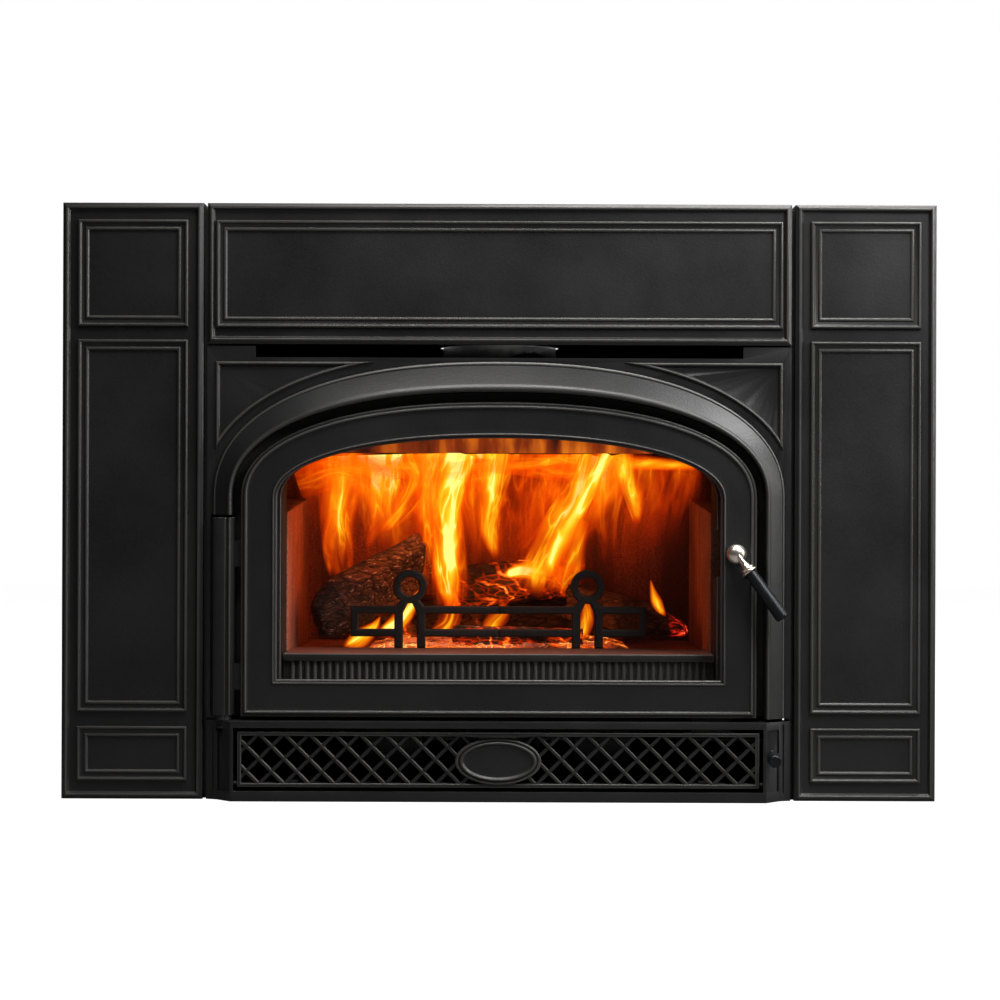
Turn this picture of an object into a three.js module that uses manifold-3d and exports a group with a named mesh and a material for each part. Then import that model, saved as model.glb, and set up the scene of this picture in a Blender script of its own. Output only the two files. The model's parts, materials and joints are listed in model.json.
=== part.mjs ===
// Fireplace insert: a cast stove front with an arched glass door, in a three-panel cast surround, with its
// firebox, lining, casing and blower behind. Millimetres. x runs to the right, y to the back and z up.
// y = 0 is the fireplace facing that the surround rests on, z = 0 is the hearth, and the front looks to -y.
import * as THREE from 'three';
import { mergeVertices } from 'three/addons/utils/BufferGeometryUtils.js';
import Module from 'manifold-3d';

// ---- driving dimensions ----

const seatGap = 0.3; // between pieces that seat on each other
const runningGap = 0.5; // between pieces that move past each other

// surround
const surroundWidth = 1067;
const surroundHeight = 728;
const surroundSideWidth = 172;
const surroundJoint = 4.6; // open joint between the side panels and the centre
const surroundStandoff = 38; // front field ahead of the facing
const castWall = 5;
const rimProud = 4;
const mouldingWidth = 13.5;
const topPanelHeight = 172;
const topJoint = 2.3;
const centreHalf = surroundWidth / 2 - surroundSideWidth - surroundJoint;
const topPanelBottom = surroundHeight - topPanelHeight;
const facadeTop = topPanelBottom - topJoint;

// facade and arched rib
const lowerHeight = 97;
const facadeBottom = lowerHeight + 4;
const outletNotchHalf = centreHalf - 58.9;
const outletNotchDepth = 13.7;
const ribMargin = 8.2; // facade beside the rib
const crownMargin = 18.7; // facade over the rib's crown
const ribWidth = 23.7; // at the legs
const crownWidth = 37;
const ribHalf = centreHalf - ribMargin;
const ribRise = 168;
const ribInnerHalf = ribHalf - ribWidth;
const ribInnerRise = ribRise - crownWidth;
const springHeight = facadeTop - crownMargin - ribRise; // where every arch starts
const outerPower = 2.3; // the arches are Lame curves
const ribFace = 54; // proudest line of the rib, ahead of the facing
const ribOuterFace = 41;
const leftLegBottom = springHeight - 19.5; // the left leg stops above the hinge post

// door
const doorGap = 10.5; // between the rib and the door
const doorHalf = ribInnerHalf - doorGap;
const doorRise = ribInnerRise - doorGap - 1.8;
const doorBottom = facadeBottom;
const doorFace = 47;
const doorBack = 34;
const doorStile = 44.1;
const openingHalf = doorHalf - doorStile;
const openingRise = doorRise - doorStile;
const openingBottom = doorBottom + 46;
const lipBack = 41;
const lipWidth = 9.1;
const glassWall = 5;
const ropeInset = 7; // centre of the rope gasket from the door's edge
const ropeWidth = 7.4;
const ropeGrooveDepth = 3;

// stove front plate
const frameHalf = ribHalf - 2.7;
const frameRise = ribRise - 3;
const frameFace = 25; // sealing face, ahead of the facing
const frameWall = 12;
const throatHalf = doorHalf - 46.5;
const throatRise = doorRise - 36.7;
const throatBottom = doorBottom + 37;
const throatPower = 2.2;
const jambWall = 4;
const jambDepth = 55;

// hinge
const hingeX = -(ribInnerHalf + 11);
const hingeY = -40;
const hingePinRadius = 4;
const postHalf = 14;
const postTop = leftLegBottom - 3.5;
const postBottom = facadeBottom + 3;
const earHeights = [postBottom + 46, postTop - 44];
const earHalf = 16;

// latch and handle
const latchX = openingHalf + 18.6;
const latchZ = springHeight - 65.5;
const shaftRadius = 5;
const hubRadius = 12.2;
const handleLean = 35; // degrees from straight down towards the right
const handleTilt = 10; // degrees away from the door
const neckLength = 27;
const collarRadius = 10;
const gripLength = 68;
const gripRadius = 7.5;
const gripEndRadius = 8.5;
const pawlReach = 11.4;

// lower frame and grille
const lowerFace = 58;
const lowerFlatHalf = centreHalf - 31.9;
const lowerChamferHalf = centreHalf - 13.9;
const lowerChamferFace = 42;
const lowerWall = 7;
const lowerRail = 8;
const grilleHalf = lowerFlatHalf - 8.2;
const grilleBottom = 17;
const grilleHeight = 67.4;
const grilleBand = 5;
const grilleFace = 56;
const grilleWall = 4.5;
const grilleGap = 4.7; // round the grille
const barWidth = 5;
const barPitch = 30.6; // along x, for bars at 45 degrees
const latticeMiddle = 51;
const medallionHalfWidth = 52.4;
const medallionHalfHeight = 28.5;
const medallionZ = 49.3;
const grilleRodRadius = 2.5;

// air control
const airRodX = lowerFlatHalf + 8;
const airRodZ = 60; // where the rod leaves the chamfered end
const airTilt = 13; // degrees down towards the front
const airRodRadius = 3;
const airTravel = 30;
const knobRadius = 8;
const knobLength = 26;

// firebox
const casingHalf = ribHalf + 1.3;
const casingWall = 2;
const sideAirGap = 39;
const shellHalf = casingHalf - casingWall - sideAirGap;
const shellBottom = lowerHeight + 38;
const shellTop = springHeight + 133;
const shellDepth = 376;
const shellWall = 4;
const brickWall = 38;
const floorBrickTop = shellBottom + 35;
const sideBrickFrontTop = springHeight - 16;
const sideBrickBackTop = springHeight + 1;
const backBrickTop = springHeight + 58;
const brickJoint = 1;
const ledgeTop = floorBrickTop + 6;
const ledgeDepth = 104;
const ledgeLip = 9;
const flutePitch = 9.1;
const tubeRadius = 9.5;
const tubeZ = springHeight + 71; // hidden from the front by the air-wash bar
const firstTubeY = 110;
const lastTubeGap = 31; // from the last tube's middle to the back bricks
const baffleWall = 12;
const washBarBottom = springHeight + 58;
const washBarHeight = 36;

// andirons
const andironY = 82;
const andironWall = 10;
const andironRingX = 114;
const andironRingZ = ledgeTop + 79;
const andironRingRadius = 22;
const andironHole = 12.3;
const andironBar = 9.7;
const andironEndHalf = 190;
const andironLowBar = ledgeTop + 14.6;
const andironHighBar = ledgeTop + 44.1;

// outside
const topAirGap = 70; // the casing ends behind the surround's top panel
const backAirGap = 34.7;
const casingHeight = shellTop + topAirGap + casingWall;
const shellFront = seatGap + frameWall - frameFace;
const shellBack = shellFront + shellDepth;
const casingDepth = shellBack + backAirGap + casingWall;
const panWall = 3;
const collarBore = 73;
const collarOuter = 76;
const collarY = 220;
const collarTop = shellTop + 100;

// blower
const blowerY = 70;
const blowerZ = 62;
const wheelX = 130;
const wheelRadius = 40;
const wheelWidth = 60;
const bladeCount = 12;
const bladeDepth = 8;
const scrollStart = 46;
const scrollGrowth = 16;
const scrollWidth = 70;
const motorRadius = 36;
const motorHalf = 52;
const blowerShaftRadius = 4;

// mesh fineness
const archSteps = 26;
const scrollSteps = 14;

// ---- finishes ----

const finish = (color, roughness, metalness) => new THREE.MeshStandardMaterial({ color, roughness,
  metalness });
const castBlack = finish(0x1d1d1e, 0.62, 0.35);
const steelBlack = finish(0x161617, 0.55, 0.6);
const nickel = finish(0xc9bfae, 0.25, 1);
const gripBlack = finish(0x0c0c0d, 0.45, 0);
const firebrick = finish(0x8c4a34, 0.95, 0);
const wood = finish(0x3a2417, 0.9, 0);
const ropeGrey = finish(0x3b3a38, 0.95, 0);
const zincSteel = finish(0x8f9296, 0.4, 0.9);
const board = finish(0x9d9384, 0.95, 0);
const ceramicGlass = new THREE.MeshStandardMaterial({ color: 0x2a2420, roughness: 0.08, transparent: true,
  opacity: 0.35 });

// ---- shaping ----

const wasm = await Module();
wasm.setup();

function signedVolume(points, faces) {
  const corner = (i) => new THREE.Vector3().fromArray(points, 3 * i);
  let volume = 0;
  for (let i = 0; i < faces.length; i += 3) {
    volume += corner(faces[i]).dot(corner(faces[i + 1]).cross(corner(faces[i + 2])));
  }
  return volume / 6;
}

// a closed three.js geometry as a solid, its faces turned outwards
function solid(geometry) {
  const plain = new THREE.BufferGeometry();
  plain.setAttribute('position', geometry.getAttribute('position'));
  if (geometry.index) plain.setIndex(geometry.index);
  const merged = mergeVertices(plain, 1e-4);
  const points = merged.getAttribute('position').array;
  const faces = [];
  for (let i = 0; i < merged.index.count; i += 3) {
    const [a, b, c] = merged.index.array.slice(i, i + 3);
    if (a !== b && b !== c && c !== a) faces.push(a, b, c);
  }
  if (signedVolume(points, faces) < 0) faces.reverse();
  const mesh = new wasm.Mesh({
    numProp: 3,
    vertProperties: new Float32Array(points),
    triVerts: new Uint32Array(faces),
  });
  return new wasm.Manifold(mesh);
}

function toGeometry(body) {
  const mesh = body.getMesh();
  const geometry = new THREE.BufferGeometry();
  geometry.setAttribute('position', new THREE.BufferAttribute(new Float32Array(mesh.vertProperties), 3));
  geometry.setIndex(new THREE.BufferAttribute(new Uint32Array(mesh.triVerts), 1));
  const flat = geometry.toNonIndexed();
  flat.computeVertexNormals();
  return flat;
}

const join = (first, ...others) => others.reduce((whole, other) => whole.add(other), first);
const cut = (body, ...tools) => tools.reduce((rest, tool) => rest.subtract(tool), body);

const box = (x0, x1, y0, y1, z0, z1) =>
  solid(new THREE.BoxGeometry(x1 - x0, y1 - y0, z1 - z0).translate((x0 + x1) / 2, (y0 + y1) / 2,
    (z0 + z1) / 2));

// a box on the left (-1) or right (+1) side, given by its distances from the middle
const sideBox = (side, near, far, y0, y1, z0, z1) =>
  side > 0 ? box(near, far, y0, y1, z0, z1) : box(-far, -near, y0, y1, z0, z1);

const toShape = (outline, holes = []) => {
  const shape = new THREE.Shape(outline.map(([u, v]) => new THREE.Vector2(u, v)));
  shape.holes = holes.map((hole) => new THREE.Path(hole.map(([u, v]) => new THREE.Vector2(u, v))));
  return shape;
};

// outlines in x and z, extruded from the front plane to the back plane; a bevel keeps the outline
function alongY(outline, front, back, { holes = [], bevel = 0 } = {}) {
  const options = { depth: back - front - 2 * bevel, curveSegments: 1, bevelEnabled: bevel > 0 };
  Object.assign(options, { bevelSize: bevel, bevelThickness: bevel, bevelOffset: -bevel,
    bevelSegments: 1 });
  const geometry = new THREE.ExtrudeGeometry(toShape(outline, holes), options);
  return solid(geometry.rotateX(Math.PI / 2).translate(0, back - bevel, 0));
}

// outlines in x and y, extruded upwards
function alongZ(outline, bottom, top, holes = []) {
  const options = { depth: top - bottom, curveSegments: 1, bevelEnabled: false };
  return solid(new THREE.ExtrudeGeometry(toShape(outline, holes), options).translate(0, 0, bottom));
}

// outlines in y and z, extruded to the right
function alongX(outline, left, right, holes = []) {
  const options = { depth: right - left, curveSegments: 1, bevelEnabled: false };
  const turn = new THREE.Matrix4().makeBasis(
    new THREE.Vector3(0, 1, 0), new THREE.Vector3(0, 0, 1), new THREE.Vector3(1, 0, 0));
  const geometry = new THREE.ExtrudeGeometry(toShape(outline, holes), options);
  return solid(geometry.applyMatrix4(turn).translate(left, 0, 0));
}

// a round piece along a line: radii and heights from its start, both ends on the axis or a closed ring
function revolve(profile, start, direction, sides = 24) {
  const geometry = new THREE.LatheGeometry(profile.map(([r, h]) => new THREE.Vector2(r, h)), sides);
  const turn = new THREE.Quaternion().setFromUnitVectors(
    new THREE.Vector3(0, 1, 0), new THREE.Vector3(...direction).normalize());
  return solid(geometry.applyQuaternion(turn).translate(...start));
}

const rod = (start, direction, length, radius, sides = 16) =>
  revolve([[0, 0], [radius, 0], [radius, length], [0, length]], start, direction, sides);

const circle = (cu, cv, radius, count) => Array.from({ length: count }, (_, i) => {
  const angle = (2 * Math.PI * (i + 0.5)) / count;
  return [cu + radius * Math.cos(angle), cv + radius * Math.sin(angle)];
});

const ellipse = (halfWidth, halfHeight, cu, cv, count) =>
  circle(0, 0, 1, count).map(([u, v]) => [cu + halfWidth * u, cv + halfHeight * v]);

const area = (outline) => THREE.ShapeUtils.area(outline.map(([u, v]) => new THREE.Vector2(u, v)));

// faces of a flat end, wound the way its outline is
function endFaces(outline) {
  const vectors = outline.map(([u, v]) => new THREE.Vector2(u, v));
  const winding = Math.sign(area(outline));
  return THREE.ShapeUtils.triangulateShape(vectors, [])
    .map((face) => (Math.sign(area(face.map((i) => outline[i]))) === winding ? face : [...face].reverse()));
}

// a skin over rings of as many points each; open ones are closed by flat ends
function skin(rings, ends = null) {
  const count = rings[0].length;
  const total = rings.length;
  const faces = [];
  for (let i = 0; i < (ends ? total - 1 : total); i += 1) {
    for (let j = 0; j < count; j += 1) {
      const here = i * count;
      const next = ((i + 1) % total) * count;
      const after = (j + 1) % count;
      faces.push(here + j, here + after, next + after, here + j, next + after, next + j);
    }
  }
  if (ends) {
    for (const [a, b, c] of endFaces(ends)) {
      const last = (total - 1) * count;
      faces.push(c, b, a, last + a, last + b, last + c);
    }
  }
  const geometry = new THREE.BufferGeometry();
  geometry.setAttribute('position', new THREE.BufferAttribute(new Float32Array(rings.flat(2)), 3));
  geometry.setIndex(faces);
  return solid(geometry);
}

const atY = (outline, ahead) => outline.map(([x, z]) => [x, -ahead, z]);

const rectangle = (u0, u1, v0, v1, inset = 0) =>
  [[u0 + inset, v0 + inset], [u1 - inset, v0 + inset], [u1 - inset, v1 - inset],
  [u0 + inset, v1 - inset]];

const lamePoint = (half, rise, power, angle) => {
  const across = Math.cos(angle);
  const up = Math.max(Math.sin(angle), 0);
  return [half * Math.sign(across) * Math.abs(across) ** (2 / power), rise * up ** (2 / power)];
};

const lameWidth = (z, half, rise, power) => half * (1 - Math.abs(z / rise) ** power) ** (1 / power);

// an arched outline on two straight legs, from the right leg's foot over to the left one
function arched({ half, rise, power, bottom }, inset = 0) {
  const points = [[half - inset, bottom + inset]];
  for (let i = 0; i <= archSteps; i += 1) {
    const [x, z] = lamePoint(half - inset, rise - inset, power, (Math.PI * i) / archSteps);
    points.push([x, springHeight + z]);
  }
  points.push([-(half - inset), bottom + inset]);
  return points;
}

// ---- the model ----

const insert = new THREE.Group();

function place(name, body, material) {
  const mesh = new THREE.Mesh(toGeometry(body), material);
  mesh.name = name;
  insert.add(mesh);
}

const surroundHalf = surroundWidth / 2;
const fieldBack = -(surroundStandoff - castWall);
const rimFace = surroundStandoff + rimProud;
const lowerBack = -(lowerFace - lowerWall) + 20;

// ---- surround ----

// a cast panel: bevelled edge, bead round the rim, flat field
function panel(x0, x1, z0, z1) {
  const steps = [
    [0, surroundStandoff - castWall], [0, surroundStandoff - 1], [3, rimFace - 0.6], [4.5, rimFace],
    [7.5, rimFace], [9.2, surroundStandoff],
  ];
  const rings = steps.map(([inset, ahead]) => atY(rectangle(x0, x1, z0, z1, inset), ahead));
  return skin(rings, rectangle(x0, x1, z0, z1));
}

// a rectangular moulding: outer bead, cove, inner bead
function moulding(x0, x1, z0, z1) {
  const steps = [
    [0, -1], [0, 2.4], [1.3, rimProud], [3.4, rimProud], [4.6, 2], [8.8, 1], [10, 2.6],
    [mouldingWidth - 1.6, 2.6], [mouldingWidth, 0.6], [mouldingWidth, -1],
  ];
  return skin(steps.map(([inset, proud]) => atY(rectangle(x0, x1, z0, z1, inset),
    surroundStandoff + proud)));
}

const sideMouldings = [[22.6, 89], [106.5, surroundHeight - 167],
  [surroundHeight - 151, surroundHeight - 20.5]];
const sideMouldingInset = 18.8;
const returnDepth = -fieldBack;

for (const [side, word] of [[-1, 'left'], [1, 'right']]) {
  const [x0, x1] = side > 0 ? [centreHalf + surroundJoint, surroundHalf] : [-surroundHalf,
    -centreHalf - surroundJoint];
  const mouldings = sideMouldings.map(([z0, z1]) => moulding(x0 + sideMouldingInset,
    x1 - sideMouldingInset, z0, z1));
  const outerReturn = sideBox(side, surroundHalf - castWall, surroundHalf, fieldBack - 1, 0, 0,
    surroundHeight);
  const innerReturn = sideBox(side, centreHalf + surroundJoint, centreHalf + surroundJoint + castWall,
    fieldBack - 1, fieldBack + 2.5, 0, surroundHeight);
  const topReturn = sideBox(side, centreHalf + surroundJoint, surroundHalf, -returnDepth - 1, 0,
    surroundHeight - castWall, surroundHeight);
  const body = join(panel(x0, x1, 0, surroundHeight), ...mouldings, outerReturn, innerReturn, topReturn);
  place(`surround_${word}`, body, castBlack);
}

{
  const mould = moulding(-centreHalf + 10.9, centreHalf - 10.9, topPanelBottom + 20, surroundHeight - 21);
  const topReturn = box(-centreHalf, centreHalf, fieldBack - 1, 0, surroundHeight - castWall,
    surroundHeight);
  const body = join(panel(-centreHalf, centreHalf, topPanelBottom, surroundHeight), mould, topReturn);
  place('surround_top', body, castBlack);
}

// steel angles that tie the surround to the casing and the facade, and close the joints from behind;
// each ends in a foot that passes behind the lower frame
const bracketWall = 3;
const bracketReach = 50;
const bracketFootLap = 20;
for (const [side, word] of [[-1, 'left'], [1, 'right']]) {
  const near = casingHalf + seatGap;
  const front = fieldBack + seatGap;
  const innerReturnBack = centreHalf + surroundJoint + castWall;
  const profile = [
    [near, front], [innerReturnBack + bracketReach, front],
    [innerReturnBack + bracketReach, front + bracketWall],
    [near + bracketWall, front + bracketWall], [near + bracketWall, 40], [near, 40],
  ];
  const angleFoot = lowerHeight + 8;
  const angle = alongZ(profile.map(([x, y]) => [side * x, y]), angleFoot, surroundHeight - castWall - 1);
  const foot = sideBox(side, near, innerReturnBack + bracketReach, lowerBack + seatGap,
    lowerBack + seatGap + bracketWall, seatGap, angleFoot + bracketFootLap);
  const relief = sideBox(side, centreHalf + surroundJoint - 1, innerReturnBack + 1, front - 1,
    fieldBack + 2.5 + seatGap, 0, surroundHeight);
  place(`surround_bracket_${word}`, cut(join(angle, foot), relief), steelBlack);
}

// ---- facade ----

const rib = { half: ribHalf, rise: ribRise, power: outerPower, bottom: facadeBottom };
const spandrelTop = facadeTop - 19;
const spandrelSide = centreHalf - 10.6;
const spandrelMargin = 11; // from the rib's outer edge
const spandrelSteps = 10;

// the triangle between the facade's corner and the rib, on the left
function spandrel(inset) {
  const half = ribHalf + spandrelMargin + inset;
  const rise = ribRise + spandrelMargin + inset;
  const top = spandrelTop - inset - springHeight;
  const side = spandrelSide - inset;
  const right = lameWidth(top, half, rise, outerPower);
  const start = Math.acos((right / half) ** (outerPower / 2));
  const end = Math.acos((side / half) ** (outerPower / 2));
  const points = [[-side, springHeight + top]];
  for (let i = 0; i <= spandrelSteps; i += 1) {
    const [x, z] = lamePoint(half, rise, outerPower, start + ((end - start) * i) / spandrelSteps);
    points.push([-x, springHeight + z]);
  }
  return points;
}

const mirrored = (outline) => outline.map(([x, z]) => [-x, z]).reverse();
{
  const legs = arched(rib, -0.8).map(([x, z]) => [x, Math.max(z, facadeBottom)]);
  const outline = [
    [centreHalf, facadeBottom], [centreHalf, facadeTop], [outletNotchHalf, facadeTop],
    [outletNotchHalf, facadeTop - outletNotchDepth], [-outletNotchHalf, facadeTop - outletNotchDepth],
    [-outletNotchHalf, facadeTop], [-centreHalf, facadeTop], [-centreHalf, facadeBottom],
    ...legs.reverse(),
  ];
  let body = alongY(outline, -surroundStandoff, fieldBack);
  const beadSteps = [[0, -1], [0, 1], [1.2, 2.6], [2.8, 2.6], [4, 0.6], [5, -0.2], [5, -1]];
  for (const turn of [(o) => o, mirrored]) {
    body = join(body, skin(beadSteps.map(([inset, proud]) => atY(turn(spandrel(inset)),
      surroundStandoff + proud))));
    body = cut(body, alongY(turn(spandrel(5)), -surroundStandoff - 10, -surroundStandoff + 1.4));
  }
  // room for the hinge post to turn
  const postRelief = box(hingeX - postHalf - 2.2, hingeX, -surroundStandoff - 10, 0, facadeBottom - 1,
    leftLegBottom);
  place('facade_plate', cut(body, postRelief), castBlack);
}

// ---- front frame with the arched rib ----

// the rib's section: 0 is its inner edge, 1 its outer edge
const ribBack = -(frameFace - 5); // sunk into the plate
const ribSection = [
  [0, -ribBack], [0, ribFace - 2.4], [0.05, ribFace - 0.5], [0.11, ribFace], [0.17, ribFace - 0.8],
  [0.24, ribFace - 2.6], [0.88, ribOuterFace + 0.9], [0.93, ribOuterFace + 1.4], [1, ribOuterFace],
  [1, -ribBack],
];
const ribWidthAt = ribHalf - ribInnerHalf;

function archedRib() {
  const station = (inner, outer) => ribSection.map(([u, ahead]) =>
    [inner[0] + (outer[0] - inner[0]) * u, -ahead, inner[1] + (outer[1] - inner[1]) * u]);
  const rings = [station([ribInnerHalf, facadeBottom], [ribHalf, facadeBottom])];
  for (let i = 0; i <= archSteps; i += 1) {
    const angle = (Math.PI * i) / archSteps;
    const [xi, zi] = lamePoint(ribInnerHalf, ribInnerRise, outerPower, angle);
    const [xo, zo] = lamePoint(ribHalf, ribRise, outerPower, angle);
    rings.push(station([xi, springHeight + zi], [xo, springHeight + zo]));
  }
  rings.push(station([-ribInnerHalf, leftLegBottom], [-ribHalf, leftLegBottom]));
  return skin(rings, ribSection.map(([u, ahead]) => [u * ribWidthAt, ahead]));
}

const floorTop = shellBottom + shellWall; // inside the firebox
const throat = { half: throatHalf, rise: throatRise, power: throatPower, bottom: throatBottom };
const frameBack = -(frameFace - frameWall);
const latchNotch = { left: throatHalf - 4, right: latchX + 13, bottom: latchZ - 28.5, top: latchZ + 28.5 };
{
  const plateOutline = { half: frameHalf, rise: frameRise, power: outerPower,
    bottom: facadeBottom + 0.5 };
  const plate = alongY(arched(plateOutline), -frameFace, frameBack,
    { holes: [arched(throat).reverse()] });
  const jambBack = frameBack + jambDepth;
  const jambs = [-1, 1].map((side) => sideBox(side, throatHalf, throatHalf + jambWall, frameBack - 2,
    jambBack,
    floorTop + seatGap, washBarBottom + washBarHeight / 2));
  const { left, right, bottom, top } = latchNotch;
  const notch = box(left, right, -frameFace - 1, frameBack + 1, bottom, top);
  const jambNotch = alongX([[frameBack - 1, bottom], [frameBack + 5, bottom], [jambBack + 1, bottom - 7],
    [jambBack + 1, top + 7], [frameBack + 5, top], [frameBack - 1, top]], left,
    throatHalf + jambWall + 1);
  const pinBore = rod([hingeX, hingeY, leftLegBottom - 1], [0, 0, 1], 19, hingePinRadius + runningGap,
    20);
  place('front_frame', cut(join(plate, archedRib(), ...jambs), notch, jambNotch, pinBore), castBlack);
}

// the strike stands on the frame's back, just past the reach of the pawl
const strikeHalf = 11;
const strikeX = latchNotch.right + 0.2;
{
  const x0 = strikeX;
  const y0 = frameBack + seatGap;
  const outline = [[x0 + 13, y0], [x0 + 13, y0 + 8], [x0 + 3, y0 + 9], [x0 + 0.8, y0 + 7], [x0, y0 + 4.5],
    [x0 + 1.5, y0]];
  place('door_strike', alongZ(outline, latchZ - strikeHalf, latchZ + strikeHalf), steelBlack);
}

// ---- door ----

const door = { half: doorHalf, rise: doorRise, power: outerPower, bottom: doorBottom };
const opening = { half: openingHalf, rise: openingRise, power: throatPower, bottom: openingBottom };
const ropeGroove = doorBack + ropeGrooveDepth;
const grooveHalf = ropeWidth / 2 + seatGap;
const earFront = -doorFace + 4.5;
const earBack = -doorBack - 1.5;
const shaftHole = rod([latchX, -doorFace - 5, latchZ], [0, 1, 0], doorFace + 5, shaftRadius + runningGap,
  20);
{
  const outerSteps = [[0, doorBack + 2], [0, doorFace - 2.5], [1.2, doorFace - 1], [4.2, doorFace - 1],
    [5, doorFace + 2.3], [7.2, doorFace + 2.3], [8.4, doorFace]];
  const innerSteps = [[5.8, doorFace], [5.2, doorFace + 1.2], [3.8, doorFace + 1.2], [3, doorFace - 2.4],
    [1.4, doorFace - 2.4], [0, doorFace - 3.8], [0, lipBack], [lipWidth, lipBack], [lipWidth, doorBack]];
  const backSteps = [[ropeInset + grooveHalf, doorBack], [ropeInset + grooveHalf, ropeGroove],
    [ropeInset - grooveHalf, ropeGroove], [ropeInset - grooveHalf, doorBack], [1.2, doorBack]];
  const rings = [
    ...outerSteps.map(([inset, ahead]) => atY(arched(door, inset), ahead)),
    ...innerSteps.map(([grow, ahead]) => atY(arched(opening, -grow), ahead)),
    ...backSteps.map(([inset, ahead]) => atY(arched(door, inset), ahead)),
  ];
  const boss = rod([latchX, -doorBack - 1, latchZ], [0, 1, 0], 6, shaftRadius + 3, 20);
  const ears = earHeights.map((z) => box(hingeX + 8, -doorHalf + 1.5, earFront, earBack, z - earHalf,
    z + earHalf));
  place('door_frame', cut(join(skin(rings), boss, ...ears), shaftHole), castBlack);
}

const gasketWall = 1.5;
const glassFront = -(lipBack - seatGap - gasketWall - seatGap);
const glassBack = glassFront + glassWall;
const glassEdge = lipWidth - 1.3;
place('glass_gasket', alongY(arched(opening, -glassEdge), -(lipBack - seatGap),
  -(lipBack - seatGap) + gasketWall,
  { holes: [arched(opening, -1.2).reverse()] }), ropeGrey);
place('door_glass', alongY(arched(opening, -glassEdge), glassFront, glassBack), ceramicGlass);

// rope gasket, squeezed flat between its groove and the frame
{
  const deep = (ropeGroove - frameFace) / 2 - seatGap;
  const middle = (ropeGroove + frameFace) / 2;
  const section = [[-1, 0], [-0.6, -1], [0.6, -1], [1, 0], [0.6, 1], [-0.6, 1]];
  const rings = section.map(([u, v]) => atY(arched(door, ropeInset + (u * ropeWidth) / 2),
    middle + v * deep));
  place('door_gasket', skin(rings), ropeGrey);
}

// glass clips: a bent steel tab over the glass edge, with its screw
const clipWall = 2;
const clipFront = Math.max(glassBack, -doorBack) + seatGap;
const clipSpots = [
  ['left', -(openingHalf + lipWidth), springHeight - 117, 1, 0],
  ['right', openingHalf + lipWidth, springHeight - 152, -1, 0],
  ['top', 0, springHeight + openingRise + lipWidth, 0, -1],
  ['bottom', 0, openingBottom - lipWidth, 0, 1],
];
for (const [word, x, z, inwardX, inwardZ] of clipSpots) {
  const over = 6; // over the glass
  const foot = 13; // over the door
  const width = 14;
  const reach = (direction, low) => (low ? (direction > 0 ? -foot : -over) : (direction > 0 ? over : foot));
  const [x0, x1] = inwardX ? [x + reach(inwardX, true), x + reach(inwardX, false)] : [x - width,
    x + width];
  const [z0, z1] = inwardZ ? [z + reach(inwardZ, true), z + reach(inwardZ, false)] : [z - width,
    z + width];
  const tab = alongY(rectangle(x0, x1, z0, z1), clipFront, clipFront + clipWall);
  const screw = rod([x - inwardX * 7, clipFront + 1, z - inwardZ * 7], [0, 1, 0], clipWall + 1.5, 3.5, 8);
  place(`glass_clip_${word}`, join(tab, screw), steelBlack);
}

// ---- hinge ----

{
  // seen from above: flat front with a step and a bead towards the door, rounded back
  const profile = [
    [-12.6, -6], [-11, -9.4], [-8, -11], [3.2, -11], [4.2, -9.6], [7, -9.6], [7.8, -12], [9.6, -12],
    [10.6, -10],
    [12.6, -6.6], [postHalf, -2], [postHalf, 4], [11, 8.6], [5, 11], [-5, 11], [-11, 8.6], [-postHalf, 4],
    [-postHalf, -2],
  ].map(([x, y]) => [hingeX + x, hingeY + y]);
  const pinHole = { radius: hingePinRadius + seatGap / 2, depth: 24 };
  const holes = [postTop - pinHole.depth, postBottom - 1].map((z) =>
    rod([hingeX, hingeY, z], [0, 0, 1], pinHole.depth + 1, pinHole.radius, 20));
  const pockets = earHeights.map((z) => box(hingeX + 8 - seatGap, hingeX + postHalf + 1,
    earFront - seatGap,
    earBack + seatGap, z - earHalf - seatGap, z + earHalf + seatGap));
  place('hinge_post', cut(alongZ(profile, postBottom, postTop), ...holes, ...pockets), castBlack);
  const pinLength = 38;
  place('hinge_pin_top', rod([hingeX, hingeY, postTop - pinHole.depth + 2], [0, 0, 1], pinLength,
    hingePinRadius, 14),
    zincSteel);
  const washer = rod([hingeX, hingeY, lowerHeight + runningGap], [0, 0, 1],
    postBottom - lowerHeight - runningGap - seatGap, hingePinRadius + 6, 14);
  const pin = rod([hingeX, hingeY, postBottom + pinHole.depth - 3 - pinLength], [0, 0, 1], pinLength,
    hingePinRadius, 14);
  place('hinge_pin_bottom', join(pin, washer), zincSteel);
}

// ---- latch and handle ----

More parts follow.
